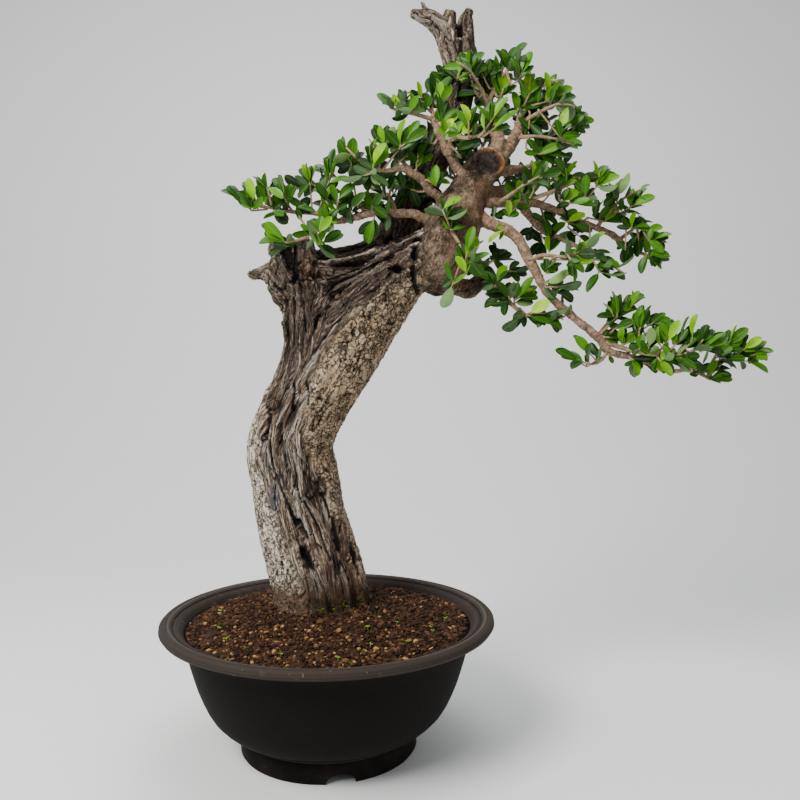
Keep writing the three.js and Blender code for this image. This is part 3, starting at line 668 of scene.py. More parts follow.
def soil_finish():
    finish = Finish("red_brown_grit", Specular_IOR_Level=0.2)
    place = finish.millimetres()
    speck = finish.noise(place, 0.8, 3, 0.6)
    damp = finish.noise(place, 26, 3, 0.6)
    tone = finish.attribute("tone") + speck.swing(0.25) + damp.swing(0.25)
    color = finish.ramp(
        tone, (0.0, 26, 16, 10), (0.25, 46, 29, 19), (0.5, 70, 45, 28), (0.68, 94, 64, 41),
        (0.78, 130, 94, 56), (1.0, 168, 134, 88))
    return finish.wear(color, 0.85 + 0.12 * speck, finish.bump(speck, 0.3, 0.7))


# ---------- the tree's wood ----------
# Paths of the trunk and its limbs, as [x, y, z, radius] from the lower or inner end outwards.
TRUNK_PATH = [
    [-6, 2, 84, 37], [-7, 1, 104, 41], [-7, 0, 131, 43.5], [-11, 0, 159, 44.5], [-20, 0, 191, 44],
    [-28, -1, 223, 42.5], [-33, -1, 256, 42.5], [-38, -2, 286, 42], [-32, -2, 309, 41], [-19, -2, 334, 40],
    [-4, -2, 358, 40], [11, -3, 381, 40], [34, -4, 414, 37], [59, -5, 445, 32], [82, -5, 466, 27],
    [104, -4, 482, 22],
]
# The trunk's band of bare wood as [height, first angle, last angle].
BARE_BAND = [
    [84, 264, 338], [131, 262, 333], [155, 258, 328], [191, 251, 321], [215, 248, 321], [257, 240, 318],
    [296, 236, 296], [312, 222, 288], [334, 176, 272], [381, 150, 258], [414, 140, 262], [446, 150, 268],
    [500, 150, 268],
]
DEAD_WOOD = {
    "nose": [
        [-13, -3, 362, 29], [-10, -4, 390, 28], [-13, -5, 414, 28], [-20, -6, 434, 28], [-29, -7, 448, 29],
        [-31, -7, 460, 26], [-31, -7, 473, 21], [-32, -7, 485, 17],
    ],
    "nose_spur": [[-38, -8, 462, 15], [-54, -9, 457, 9], [-66, -10, 455, 6], [-77, -10, 455, 3]],
    "nose_horn": [[-38, -14, 462, 10], [-50, -12, 476, 7], [-54, -8, 486, 3]],
    "nose_shoulder": [[-26, -16, 450, 14], [-24, -12, 470, 11], [-26, -6, 486, 6]],
    "front_ridge": [
        [-24, -14, 446, 18], [2, -16, 452, 14], [30, -15, 458, 13], [52, -14, 470, 11], [66, -16, 474, 8],
        [80, -18, 469, 3],
    ],
    "back_ridge": [
        [-22, 10, 462, 16], [12, 14, 470, 14], [36, 18, 478, 13], [54, 22, 492, 13], [64, 25, 510, 13],
        [72, 29, 530, 13],
    ],
    "saddle": [[-16, 0, 440, 24], [12, 0, 448, 20], [40, 2, 458, 20], [66, 6, 472, 22]],
    "spine": [
        [52, 8, 458, 22], [66, 18, 484, 21], [74, 25, 508, 20], [83, 30, 534, 19], [99, 33, 572, 17.5],
        [117, 33, 612, 16], [128, 28, 650, 15.5], [130, 22, 676, 15], [128, 20, 690, 12],
    ],
    "left_horn": [
        [124, 21, 668, 12], [118, 20, 684, 10.5], [111, 17, 699, 9.5], [100, 13, 708, 8.5],
        [89, 11, 711, 6], [80, 10, 714, 3.5],
    ],
    "middle_horn": [[120, 19, 688, 9.5], [117, 17, 704, 8], [119, 16, 718, 5]],
    "right_horn": [[131, 22, 672, 11], [134, 21, 696, 9], [135, 19, 712, 6.5], [138, 18, 721, 3.5]],
    "broken_twig": [[102, 13, 708, 4], [94, 12, 718, 2.6], [90, 12, 725, 1.6]],
}
LIVE_WOOD = {
    "heart": [
        [96, -10, 436, 6], [100, -11, 444, 18], [104, -12, 458, 24], [110, -12, 474, 26.5],
        [117, -10, 492, 26.5], [125, -8, 512, 24.5], [133, -5, 530, 20], [141, -3, 546, 18],
        [149, -3, 560, 15],
    ],
    "flap": [[112, -2, 450, 12], [126, 2, 444, 9], [138, 5, 443, 9], [150, 8, 454, 6], [154, 10, 460, 3]],
    "scar": [[150, 2, 556, 15], [152, -8, 558, 16.5], [153, -15, 559, 15.5], [153.5, -17, 559.5, 12]],
    "low_left": [
        [112, -3, 499, 9], [98, -6, 506, 6.6], [82, -10, 512, 5.3], [65, -14, 512, 4.8],
        [51, -18, 513, 4.6], [37, -22, 509, 4.5], [24, -24, 505, 4.2], [9, -27, 501, 3.4],
    ],
    "mid_left": [
        [126, -5, 518, 8], [112, -10, 525, 6], [99, -16, 532, 5.1], [89, -22, 542, 4.7],
        [78, -25, 548, 4.3], [69, -28, 552, 3.6],
    ],
    "high_left": [
        [140, -7, 540, 8], [130, -14, 547, 6.2], [120, -20, 558, 5.6], [113, -26, 570, 6.4],
        [105, -28, 584, 4.7], [100, -28, 597, 3.8],
    ],
    "top_fork": [
        [150, -1, 556, 14], [160, 3, 572, 11], [165, 5, 584, 8.5], [162, 6, 598, 7], [157, 8, 614, 6.4],
        [156, 8, 629, 4.6],
    ],
    "right_fork": [
        [158, 4, 562, 11], [170, 7, 574, 8.6], [179, 8, 587, 7.4], [185, 8, 599, 6.2], [187, 8, 613, 4.6],
    ],
    "right_stub": [[156, 4, 560, 9], [178, 12, 560, 6], [192, 16, 564, 4]],
    "cascade": [
        [134, -3, 517, 11], [150, -13, 505, 8], [160, -18, 499, 6.8], [172, -22, 493, 6.2],
        [182, -24, 483, 6], [188, -26, 469, 5.7], [195, -26, 457, 5.5], [202, -26, 443, 5.1],
        [213, -26, 428, 4.8], [228, -26, 415, 4.6], [245, -26, 401, 4.6], [257, -26, 391, 5.4],
        [265, -26, 380, 4.8], [280, -26, 376, 3.9], [295, -26, 372, 3],
    ],
    "right": [[138, -2, 528, 9], [150, -4, 525, 6.8], [162, -4, 524, 5.6], [179, -4, 522, 4.2]],
    "right_low": [
        [144, 4, 544, 10], [157, 10, 540, 7.4], [173, 14, 536, 6.4], [189, 20, 528, 5.8],
        [200, 26, 518, 5.5], [215, 30, 505, 4.8], [227, 29, 497, 3.8],
    ],
    "right_far": [
        [182, 17, 532, 6], [205, 22, 530, 5], [228, 22, 522, 4.5], [250, 20, 511, 4.1], [277, 22, 501, 3.8],
        [290, 22, 492, 3.6], [306, 22, 480, 2.8],
    ],
    "hanging": [
        [126, -2, 490, 9], [139, 1, 476, 5], [150, -3, 461, 4.2], [161, -8, 444, 3.7], [175, -12, 426, 2.8],
    ],
}
# The callus that has rolled over the bare wood at the heart's left.
HEART_SIDE = [
    [100, -14, 441, 8], [99, -15, 453, 15], [101, -15, 468, 17], [106, -13, 484, 16], [114, -10, 500, 13],
]
# Strands of bare wood that lie half sunk in the front, as (x, z, radius) along each.
STRANDS = {
    "left_edge": [
        (-57, 312, 5), (-58, 295, 5.5), (-57, 280, 5.5), (-53, 265, 6), (-49, 252, 6.5), (-46, 240, 6.5),
        (-41, 227, 6), (-35, 214, 5), (-30, 205, 4),
    ],
    "main_low": [
        (-44, 325, 5), (-46, 308, 5.5), (-47, 290, 5.5), (-45, 274, 6), (-39, 258, 6), (-33, 245, 6),
        (-27, 233, 6), (-20, 221, 6), (-14, 209, 6), (-9, 196, 6), (-5, 184, 6), (-2, 172, 6), (0, 158, 5),
    ],
    "inner_low": [
        (-34, 325, 5.5), (-36, 308, 5.5), (-35, 292, 5), (-31, 278, 5), (-27, 266, 4.5), (-23, 256, 4),
    ],
    "pale_low": [
        (-37, 272, 3), (-31, 259, 4), (-25, 248, 4.5), (-18, 238, 4.5), (-11, 228, 5), (-5, 217, 5),
        (0, 204, 5.5), (4, 192, 5), (7, 180, 5), (10, 166, 5), (12, 152, 5),
    ],
    "right_low": [(-25, 325, 5), (-26, 305, 5), (-25, 290, 5), (-20, 278, 4.5), (-14, 272, 3.5)],
    "foot_left": [
        (-38, 214, 4), (-33, 200, 5), (-27, 188, 5.5), (-21, 176, 5.5), (-15, 163, 5), (-11, 150, 5),
    ],
    "foot_right": [(14, 214, 4), (13, 200, 4.5), (14, 186, 5), (17, 172, 5), (20, 158, 5), (22, 146, 5)],
    "fin": [(27, 196, 3.5), (29, 182, 4), (32, 168, 4), (36, 156, 4.5), (39, 146, 4)],
    "to_spur": [
        (-56, 326, 5), (-49, 338, 6), (-41, 352, 6.5), (-35, 368, 7), (-31, 388, 7), (-31, 406, 7),
        (-33, 422, 7), (-39, 436, 7), (-47, 445, 6.5), (-55, 449, 5), (-63, 450, 3.2),
    ],
    "to_top": [
        (-44, 325, 5.5), (-36, 345, 6.5), (-29, 365, 7), (-26, 385, 7), (-25, 405, 7), (-26, 422, 7),
        (-29, 437, 7), (-35, 451, 7), (-39, 464, 6), (-41, 473, 4.5),
    ],
    "to_knob": [
        (-33, 325, 5.5), (-28, 345, 6), (-22, 366, 6), (-20, 386, 6.5), (-19, 404, 6.5), (-17, 420, 6.5),
        (-16, 434, 6.5), (-16, 446, 6), (-14, 458, 5.5), (-15, 468, 5), (-17, 478, 4),
    ],
    "ridge_top": [
        (-24, 325, 5), (-19, 345, 5.5), (-15, 365, 6), (-13, 385, 6), (-12, 400, 6), (-9, 414, 6.5),
        (-3, 427, 7), (6, 437, 7), (18, 443, 7), (30, 449, 7.5), (42, 456, 8), (53, 463, 7.5), (63, 467, 6),
        (71, 466, 4), (77, 463, 2.2),
    ],
    "ridge_back": [(-10, 452, 6), (4, 452, 6), (18, 451, 6), (30, 450, 6)],
    "ridge_mid": [
        (-16, 340, 4.5), (-11, 358, 5), (-7, 376, 5.5), (-4, 392, 5.5), (-1, 404, 6), (6, 415, 6.5),
        (16, 425, 7), (28, 433, 7), (40, 441, 7), (51, 449, 6.5), (60, 456, 5.5), (67, 460, 4),
    ],
    "ridge_low": [
        (-8, 368, 4), (-2, 384, 4.5), (4, 398, 5), (11, 408, 5), (21, 417, 5), (32, 425, 5.5),
        (43, 434, 5.5), (53, 441, 5), (61, 446, 4),
    ],
}
# How much of a strand's radius stands out of the wood behind it, low and high on the tree.
STRAND_PROUD = (0.55, 0.4)
STRAND_ENDS = (0.5, 0.85, 1)  # a strand's thickness at its end, next to it and further in
STRAND_SINKS = (0.1, 0.75, 1)  # how much of STRAND_PROUD is left at these places
# Burrs on the front, as (x, z, radius).
KNOBS = [
    (-16, 456, 7), (-10, 464, 5), (-21, 449, 5), (-9, 451, 4.5), (-20, 462, 4), (-14, 447, 3.5),
    (-41, 440, 5), (-47, 443, 4.5), (-36, 429, 4), (-53, 444, 3), (-39, 418, 3), (-33, 446, 4),
    (10, 431, 4), (-44, 470, 3.5), (-30, 480, 3.5), (5, 452, 3.5), (-49, 331, 6), (-58, 300, 4),
    (-9, 262, 4), (-3, 251, 4), (-14, 247, 4),
]
# Cracks and hollows cut into the front: half width, depth and the line that they follow.
CUTS = [
    (1.6, 4.0, [
        (-51, 322), (-52, 300), (-52, 286), (-50, 274), (-46, 262), (-41, 250), (-36, 239), (-31, 229),
        (-26, 219),
    ]),
    (1.4, 2.5, [(-40, 312), (-41, 298), (-39, 285), (-35, 273), (-31, 263), (-26, 253)]),
    (1.4, 3.5, [(-19, 240), (-13, 230), (-8, 219), (-4, 208), (0, 197), (5, 186)]),
    (3.0, 6.0, [(-24, 222), (-21, 213), (-18, 207)]),
    (4.5, 12.0, [(-26, 201), (-21, 194), (-16, 187), (-12, 181)]),
    (2.5, 4.0, [(7, 224), (8, 214), (10, 205), (12, 196)]),
    (1.5, 3.5, [(-3, 246), (1, 236), (4, 226)]),
    (2.5, 5.0, [(25, 202), (28, 188), (31, 174)]),
    (1.5, 3.5, [(-29, 352), (-28, 340), (-30, 326)]),
    (1.4, 3.0, [(-18, 352), (-16, 342), (-17, 330)]),
    (1.2, 3.0, [(-20, 425), (-19, 410), (-18, 398)]),
    (1.2, 2.5, [(-6, 412), (-10, 400), (-15, 388), (-18, 376)]),
    (1.3, 2.5, [(4, 445), (18, 450), (32, 456), (46, 464)]),
    (1.3, 3.0, [(-2, 430), (10, 441), (24, 447), (38, 455), (50, 461)]),
    (3.5, 9.0, [(62, 457), (70, 455), (78, 457)]),
    (3.0, 10.0, [(0, 463), (15, 462), (30, 461), (42, 469), (52, 477), (59, 486)]),
    (2.2, 6.0, [(-27, 480), (-27, 466), (-26, 455), (-28, 443)]),
    (5.0, 8.0, [(-35, 475), (-33, 467), (-32, 460)]),
    (1.0, 2.5, [(8, 396), (18, 404), (30, 415), (40, 424)]),
    (1.6, 2.5, [(-6, 336), (0, 334), (3, 331)]),
    (2.6, 6.0, [(88, 430), (84, 440), (82, 452), (82, 466), (84, 480), (88, 491)]),
    (1.2, 2.5, [(96, 432), (108, 430), (120, 433), (132, 436)]),
]
# Stains on the front, by the finish's name for them: (x, z, half width, half height, strength).
STAINS = {
    # char marks blackened wood, and painted shadow in the cavities and under the ridges.
    "char": [
        (-10, 256, 13, 15, 0.8), (-18, 192, 12, 17, 0.6), (12, 196, 10, 36, 0.7), (-14, 172, 16, 15, 0.4),
        (2, 156, 24, 10, 0.4), (-30, 430, 34, 78, 0.8), (20, 446, 56, 34, 0.85), (0, 400, 30, 26, 0.5),
        (-22, 462, 20, 22, 0.75), (30, 474, 34, 10, 1.0), (-48, 330, 8, 12, 0.6), (60, 464, 28, 13, 0.75),
        (132, 660, 9, 42, 0.7), (112, 640, 8, 22, 0.4), (18, 172, 6, 22, 0.5), (66, 483, 26, 12, 0.9),
        (20, 466, 30, 7, 0.9), (-34, 300, 5, 22, 0.2), (66, 452, 16, 12, 1.0), (83, 462, 5, 32, 1.0),
        (92, 436, 14, 6, 0.8), (128, 440, 26, 12, 0.95), (-34, 468, 9, 12, 1.0), (-64, 450, 10, 8, 0.6),
        (6, 415, 16, 14, 0.7),
    ],
    "silver": [(-47, 243, 6, 18, 1.0), (-57, 285, 4, 24, 0.6), (-32, 378, 12, 40, 0.4)],
    # The rust patch at (124, 462) is also painted shade on the heart's right side.
    "rust": [
        (28, 168, 9, 26, 0.8), (-2, 200, 30, 44, 0.3), (-26, 158, 14, 12, 0.5), (-15, 457, 12, 12, 0.9),
        (11, 431, 6, 4, 0.9), (0, 275, 10, 8, 0.5), (56, 462, 22, 6, 0.3), (124, 462, 17, 30, 0.6),
        (138, 505, 14, 26, 0.5), (150, 530, 16, 10, 0.7),
    ],
    "moss": [(4, 145, 20, 6, 0.7), (26, 149, 7, 10, 0.5), (-10, 148, 6, 6, 0.5)],
    "calm": [(8, 347, 15, 20, 1.0)],
}
WARTS = 34  # small burrs strewn over the nose, within these spans of x, z and radius
WART_SPANS = ((-60, 6), (404, 474), (1.6, 3.8))
JIN_SEAM = (2.2, 5.0, [(121, 690), (124, 672), (123, 655), (126, 636), (124, 610)])
HEART_FOOT = 492  # cuts above this height belong to bare wood only
WOOD_VOXEL = 1.12
LIMB_SLIMNESS = 0.84
HEART_PARTS = ("heart", "scar", "flap")
# The sawn stub's face as seen from the front: middle, half width and half height.
SCAR = (149.5, 552.5, 14.5, 13.5)
SPLITS = {
    "foot_wood": (0, 235), "trunk_wood": (235, 345), "nose_wood": (345, 450), "heart_wood": (450, 535),
    "crown_wood": (535, 900),
}
# What the finish reads at each vertex, besides its grain, its recess (which sets painted shade and
# highlights) and its stains.
WOOD_MARKS = ("bare", "young", "heart", "left", "crease_shade", "tone", "sawn", "callus")
FAR = 1e9
SPOTS_AT_ONCE = 20000  # keeps the table of distances small


def bareness(angle, height):
    """1 inside the trunk's band of bare wood and 0 on its bark, and how near the band's lip is.

    Angles are in degrees from the right, through the back (90), the left (180) and the front (270)."""
    heights, firsts, lasts = np.array(BARE_BAND, dtype=float).T
    first, last = np.interp(height, heights, firsts), np.interp(height, heights, lasts)
    inside = np.minimum(angle - first, last - angle)
    return smooth_step(inside, -6, 8), np.exp(-((inside + 6) ** 2) / 60)


def trunk_outline(angle, point, radius):
    bare, lip = bareness(math.degrees(angle), point.z)
    furrow = math.sin(11 * angle + point.z * 0.035) + 0.5 * math.sin(19 * angle - point.z * 0.02)
    lobes = 0.03 * radius * math.sin(2 * angle + point.z * 0.012)
    return radius + lobes + bare * (1.6 * furrow - 3.2) + (1 - bare) * 2.2 * lip


def dead_outline(angle, point, radius):
    ridge = math.sin(4 * angle + point.x * 0.05) + 0.6 * math.sin(7 * angle - point.z * 0.04)
    return radius * (1 + 0.08 * ridge)


class WoodPart:
    """One path of the tree's wood: its kind says how its surface looks."""

    def __init__(self, kind, points, number):
        self.kind = kind
        slim = LIMB_SLIMNESS if kind == "young" else 1
        self.path = Path([[*point, slim * radius] for *point, radius in points])
        self.offset = np.array((97.0, 31.0, 53.0)) * number
        self.outline = {"trunk": trunk_outline, "dead": dead_outline}.get(kind, plain)

    def shape(self):
        sides = 160 if self.kind == "trunk" else 16 + int(1.6 * self.path.radii.max())
        return tube(self.path, sides, max(4, int(self.path.length / 2.5)), self.outline)

    def nearest(self, spots):
        """The nearest mark of the path for each spot, and how far it is."""
        marks = self.path.spots
        picks, gaps = [], []
        for first in range(0, len(spots), SPOTS_AT_ONCE):
            some = spots[first:first + SPOTS_AT_ONCE]
            square = (some ** 2).sum(1)[:, None] + (marks ** 2).sum(1) - 2 * some @ marks.T
            pick = square.argmin(1)
            picks.append(pick)
            gaps.append(np.sqrt(np.maximum(square[np.arange(len(some)), pick], 0)))
        return np.concatenate(picks), np.concatenate(gaps)

    def locate(self, spots):
        """How far each spot is from this part's wall, and its place round and along the part."""
        nearest, gap = self.nearest(spots)
        offset = spots - self.path.spots[nearest]
        x = (offset * self.path.across[nearest]).sum(1)
        y = (offset * self.path.away[nearest]).sum(1)
        along = self.path.reach[nearest] + (offset * self.path.ways[nearest]).sum(1)
        radius = self.path.radii[nearest]
        wide = np.maximum(np.hypot(x, y), 1e-6)
        grain = np.stack([radius * x / wide, radius * y / wide, along], axis=1) + self.offset
        return gap - radius, grain, np.degrees(np.arctan2(y, x)) % 360


def parts_of(paths, first, kind_of):
    return [WoodPart(kind_of(name), points, first + n) for n, (name, points) in enumerate(paths.items())]


wood_parts = [WoodPart("trunk", TRUNK_PATH, 0)]
wood_parts += parts_of(DEAD_WOOD, 1, lambda name: "dead")
wood_parts += parts_of(LIVE_WOOD, 21, lambda name: "heart" if name in HEART_PARTS else "young")
wood_parts.append(WoodPart("heart", HEART_SIDE, 45))


def joined_parts(parts):
    joined = bmesh.new()
    for part in parts:
        mesh = mesh_of(part.shape())
        joined.from_mesh(mesh)
        bpy.data.meshes.remove(mesh)
    return joined


def lay_on_front(core, x, z, sink):
    """The point that lies sink deeper than the wood's surface where a viewer sees [x, z]."""
    eye = Vector(EYE)
    sight = (Vector((x, FRONT, z)) - eye).normalized()
    hit = core.ray_cast(eye, sight)[0]
    return (hit or Vector((x, FRONT / 4, z))) + sight * sink


def strand_part(core, number, points):
    """A strand of bare wood, half sunk in the wood behind it, with ends that dive under."""
    sunk = []
    for i, (x, z, radius) in enumerate(points):
        inner = min(i, len(points) - 1 - i, 2)
        radius *= STRAND_ENDS[inner] * (1 + 0.5 * noise.noise((x / 9, z / 16, 4)))
        x += 2.2 * noise.noise((x / 12, z / 15, number))
        proud = mix(*STRAND_PROUD, smooth_step(z, 330, 400)) * STRAND_SINKS[inner]
        sunk.append([*lay_on_front(core, x, z, (1 - proud) * radius), radius])
    return WoodPart("dead", sunk, number + 51)


def wart(number):
    x, z, size = WART_SPANS
    return mix(*x, draw(number, 1)), mix(*z, draw(number, 2)), mix(*size, draw(number, 3) ** 2)


def raw_wood():
    """All the wood in one skin before its relief, and the core that front marks are laid on."""
    joined = joined_parts(wood_parts)
    core = BVHTree.FromBMesh(joined)
    strands = [strand_part(core, number, points) for number, points in enumerate(STRANDS.values())]
    joined.from_mesh(mesh_of(joined_parts(strands)))
    rough = BVHTree.FromBMesh(joined)
    for x, z, radius in KNOBS + [wart(number) for number in range(WARTS)]:
        middle = lay_on_front(rough, x, z, 0.15 * radius)
        if rough.find_nearest(middle)[3] < radius:
            place = Matrix.Translation(middle) @ Matrix.Scale(radius, 4)
            bmesh.ops.create_icosphere(joined, subdivisions=3, radius=1, matrix=place)
    wood_parts.extend(strands)
    remesh = ("REMESH", {"mode": "VOXEL", "voxel_size": WOOD_VOXEL, "use_smooth_shade": True})
    return applied(mesh_of(joined), remesh, ("SMOOTH", {"factor": 0.5, "iterations": 1})), core


def fold(value, width):
    """1 in the crease where a noise crosses zero, falling to 0 beside it."""
    return max(0.0, 1 - abs(value) / width)


def dead_relief(grain):
    """Weathered grain: the height, the painted shade in its grooves, and how far up its ridge this is."""
    x, y, z = grain
    wide = noise.noise((x / 8, y / 8, z / 110))
    fine = noise.noise((x / 2.8 + 40, y / 2.8, z / 60))
    rough = noise.noise((x / 1.9, y / 1.9, z / 10))
    deep, thin = fold(wide, 0.07), fold(fine, 0.16)
    height = 1.1 * min(abs(wide) / 0.4, 1) - 1.7 * deep - 1.2 * thin + 0.45 * rough - 0.2
    return height, max(deep, 0.6 * thin), abs(wide)


def bark_relief(grain, size):
    """Cracked plates about this wide: the height, the painted shade in its cracks, and the plate's tone."""
    x, y, z = grain
    wave = 0.8 * size * noise.noise((x / 4, y / 4, z / 5))
    sway = 0.8 * size * noise.noise((x / 4 + 20, y / 4, z / 5))
    near, spots = noise.voronoi(((x + wave) / size, (y - wave) / size, (z + sway) / (1.5 * size)))
    width = 0.75 + 1.8 * noise.noise((x / 6, y / 6, z / 8 + 5))
    crack = max(0.0, 1 - (near[1] - near[0]) / 0.2) * min(max(0.1, width), 1.0)
    plate = draw(spots[0][0] * 3.7 + spots[0][1] * 1.9, spots[0][2])
    long_crack = fold(noise.noise(((x + wave) / 10, y / 10, z / 34 + 9)), 0.06)
    rough = noise.noise((x / 1.9, y / 1.9, z / 2.1))
    ragged = noise.noise((x / 4.2, y / 4.2, z / 5 + 3))
    height = 1.1 * (plate - 0.5) - 0.9 * crack - 1.8 * long_crack + 0.4 * rough + 0.8 * ragged
    return height, max(0.4 * crack, long_crack), plate


def smooth_relief(place, along):
    """Thin bark with lumps, small flakes and the rings of old leaf nodes, with painted shade in its cracks
    and low places.
    """
    x, y, z = place
    lump = noise.noise((x / 8, y / 8, z / 8))
    rough = noise.noise((x / 2.3, y / 2.3, z / 2.3))
    fine = noise.noise((x / 1.4 + 7, y / 1.4, z / 1.4))
    near = noise.voronoi((x / 3.4, y / 3.4, z / 4.2))[0]
    crack = max(0.0, 1 - (near[1] - near[0]) / 0.16)
    ring = max(0.0, math.sin(along / 2.4 + 3 * lump)) ** 10
    height = 1.0 * lump + 0.3 * rough + 0.15 * fine + 0.6 * ring - 0.2 * crack
    return height, 0.3 * crack + 0.3 * max(0.0, -rough), 0.5 + 0.5 * lump


PLATE_SIZES = (4.0, 3.4)  # of the trunk's bark, and of the bark on its left


def relief(spots, grain, bare, gentle, small):
    """Each spot's height, painted shade and tone, mixed from bare wood and bark."""
    result = np.zeros((len(grain), 3))
    for i, place in enumerate(grain.tolist()):
        if bare[i] > 0:
            result[i] += bare[i] * np.array(dead_relief(place))
        if bare[i] < 1:
            if gentle[i]:
                bark = smooth_relief(spots[i], place[2])
            else:
                bark = bark_relief(place, PLATE_SIZES[int(small[i])])
            result[i] += (1 - bare[i]) * np.array(bark)
    return result.T


def seen_from_front(spots):
    """Where a viewer at EYE sees each spot on the front plane."""
    scale = (FRONT - EYE[1]) / (spots[:, 1] - EYE[1])
    return EYE[0] + (spots[:, 0] - EYE[0]) * scale, EYE[2] + (spots[:, 2] - EYE[2]) * scale


def distance_to_line(x, z, line):
    """How far each [x, z] is from the nearest stretch of the line."""
    best = np.full(len(x), FAR)
    for (ax, az), (bx, bz) in zip(line, line[1:]):
        dx, dz = bx - ax, bz - az
        share = np.clip(((x - ax) * dx + (z - az) * dz) / (dx * dx + dz * dz), 0, 1)
        best = np.minimum(best, np.hypot(x - ax - share * dx, z - az - share * dz))
    return best


def noise_at(spots, size):
    """Noise from -1 to 1 at each spot, with lumps of about this size."""
    return np.array([noise.noise(spot) for spot in (spots / size).tolist()])


def sway_at(spots, size):
    """A vector at each spot that turns slowly from place to place."""
    return np.array([noise.noise_vector(spot) for spot in (spots / size).tolist()])


class WoodSurface:
    """What each vertex of the wood has: its place, what wood it is, its relief and its stains."""

    def __init__(self, mesh):
        self.mesh = mesh
        self.spots, self.normals = (vectors(mesh, field).astype(float) for field in ("co", "normal"))
        gaps, grains_of, angles = zip(*(part.locate(self.spots) for part in wood_parts))
        owner = np.argmin(np.stack(gaps), axis=0)
        self.grain = np.stack(grains_of)[owner, np.arange(len(self.spots))]
        kind = np.array([part.kind for part in wood_parts])[owner]
        trunk, self.dead, self.young, self.heart = (
            kind == name for name in ("trunk", "dead", "young", "heart"))
        level = self.spots[:, 2]
        sway, curl = sway_at(self.grain, (17, 17, 38)), sway_at(self.spots, 9)
        self.grain[:, :2] += 3.2 * sway[:, :2] + 2.2 * smooth_step(level, 370, 430)[:, None] * curl[:, :2]
        self.bare = np.where(trunk, bareness(angles[0], level)[0], self.dead)
        self.left = trunk * smooth_step(angles[0], 120, 160) * smooth_step(angles[0], 285, 262)
        self.left *= smooth_step(level + 30 * sway[:, 2], 400, 270)
        self.height, self.crease_shade, self.tone = relief(
            self.spots, self.grain, self.bare, self.young | self.heart, self.left > 0.5)
        self.x, self.z = seen_from_front(self.spots)
        sight = EYE - self.spots
        self.facing = smooth_step((sight * self.normals).sum(1) / np.linalg.norm(sight, axis=1), 0.05, 0.35)
        self.ragged = noise_at(self.spots, 3.5)

    def darken(self, amount):
        self.crease_shade = np.maximum(self.crease_shade, amount)

    def cut(self, half_width, depth, line):
        """A crack or cavity with ragged sides along a line on the front, given painted shade by its depth.
        """
        gap = distance_to_line(self.x, self.z, line)
        cut = np.exp(-(gap / half_width * (1 + 0.35 * self.ragged)) ** 2) * self.facing
        cut *= (self.z < HEART_FOOT) | self.dead
        self.height -= depth * cut
        self.darken(smooth_step(cut, 0.1, 0.8) * min(1, depth / 4))

    def ring(self, x, z, radius):
        """The crease under a knob, with painted shade in it."""
        gap = np.hypot(self.x - x, self.z - z) - radius
        ring = np.exp(-(gap / 1.1) ** 2) * self.facing * (self.z < z + radius / 2)
        self.height -= 1.8 * ring
        self.darken(0.7 * ring)

    def saw_stub(self):
        """The sawn face of the cut limb, and the callus that has rolled over its right edge."""
        x, z, half_width, half_height = SCAR
        right, up = (self.x - x) / half_width, (self.z - z) / half_height
        out = np.hypot(right, up) + 0.08 * self.ragged
        self.sawn = smooth_step(out, 0.93, 0.82) * self.facing * self.heart
        self.callus = np.exp(-((out - 0.98) / 0.11) ** 2) * smooth_step(self.facing, 0.0, 0.3) * self.heart
        self.callus *= smooth_step(right + 0.8 * up, -0.3, 0.5)
        self.height += 1.8 * self.callus - 2.4 * self.sawn - 1.5 * self.sawn * abs(self.ragged)

    def stain(self, x, z, half_width, half_height, strength):
        out = np.hypot((self.x - x) / half_width, (self.z - z) / half_height) + 0.25 * self.ragged
        return strength * smooth_step(out, 1.15, 0.55) * self.facing

    def swell(self):
        """Burls on the nose, and a crust on the heart under its blackening and painted shadow."""
        burls = noise_at(self.spots, 8)
        high, nose = smooth_step(self.spots[:, 2], 395, 440), smooth_step(self.x, 22, -6)
        self.height += 2.4 * burls * high * nose * self.dead
        self.height += (2.2 * self.ragged + 1.5 * burls) * self.stains["char"] * self.heart * (1 - self.sawn)

    def shaped(self):
        """Moves the vertices by their relief, and returns how deep each lies below its surroundings."""
        moved = self.spots + self.normals * self.height[:, None]
        self.mesh.vertices.foreach_set("co", moved.astype(np.float32).ravel())
        rounded = applied(self.mesh.copy(), ("SMOOTH", {"factor": 0.5, "iterations": 14}))
        return ((vectors(rounded, "co") - moved) * vectors(self.mesh, "normal").astype(float)).sum(1)

    def carve(self):
        for half_width, depth, line in [*CUTS, JIN_SEAM]:
            self.cut(half_width, depth, line)
        for x, z, radius in KNOBS:
            self.ring(x, z, radius)
        self.saw_stub()
        none = np.zeros(len(self.spots))
        self.stains = {name: np.maximum.reduce([none, *(self.stain(*spot) for spot in spots)])
                       for name, spots in STAINS.items()}
        self.height *= 1 - 0.6 * self.stains["calm"]
        self.swell()
        recess = self.shaped()
        crown = smooth_step(self.spots[:, 0], 35, 60) * smooth_step(self.spots[:, 2], 690, 630)
        self.stains["char"] = np.maximum(self.stains["char"], self.dead * crown * 0.9)
        marks = {name: getattr(self, name) for name in WOOD_MARKS}
        for name, values in {"grain": self.grain, "recess": recess, **marks, **self.stains}.items():
            store(self.mesh, name, values)


MOSS_TUFTS = 420
MOSS_WIDE = (-14, 34)  # from and to, seen on the front
MOSS_TALL = (136, 156)
MOSS_SIZES = (0.5, 1.5)


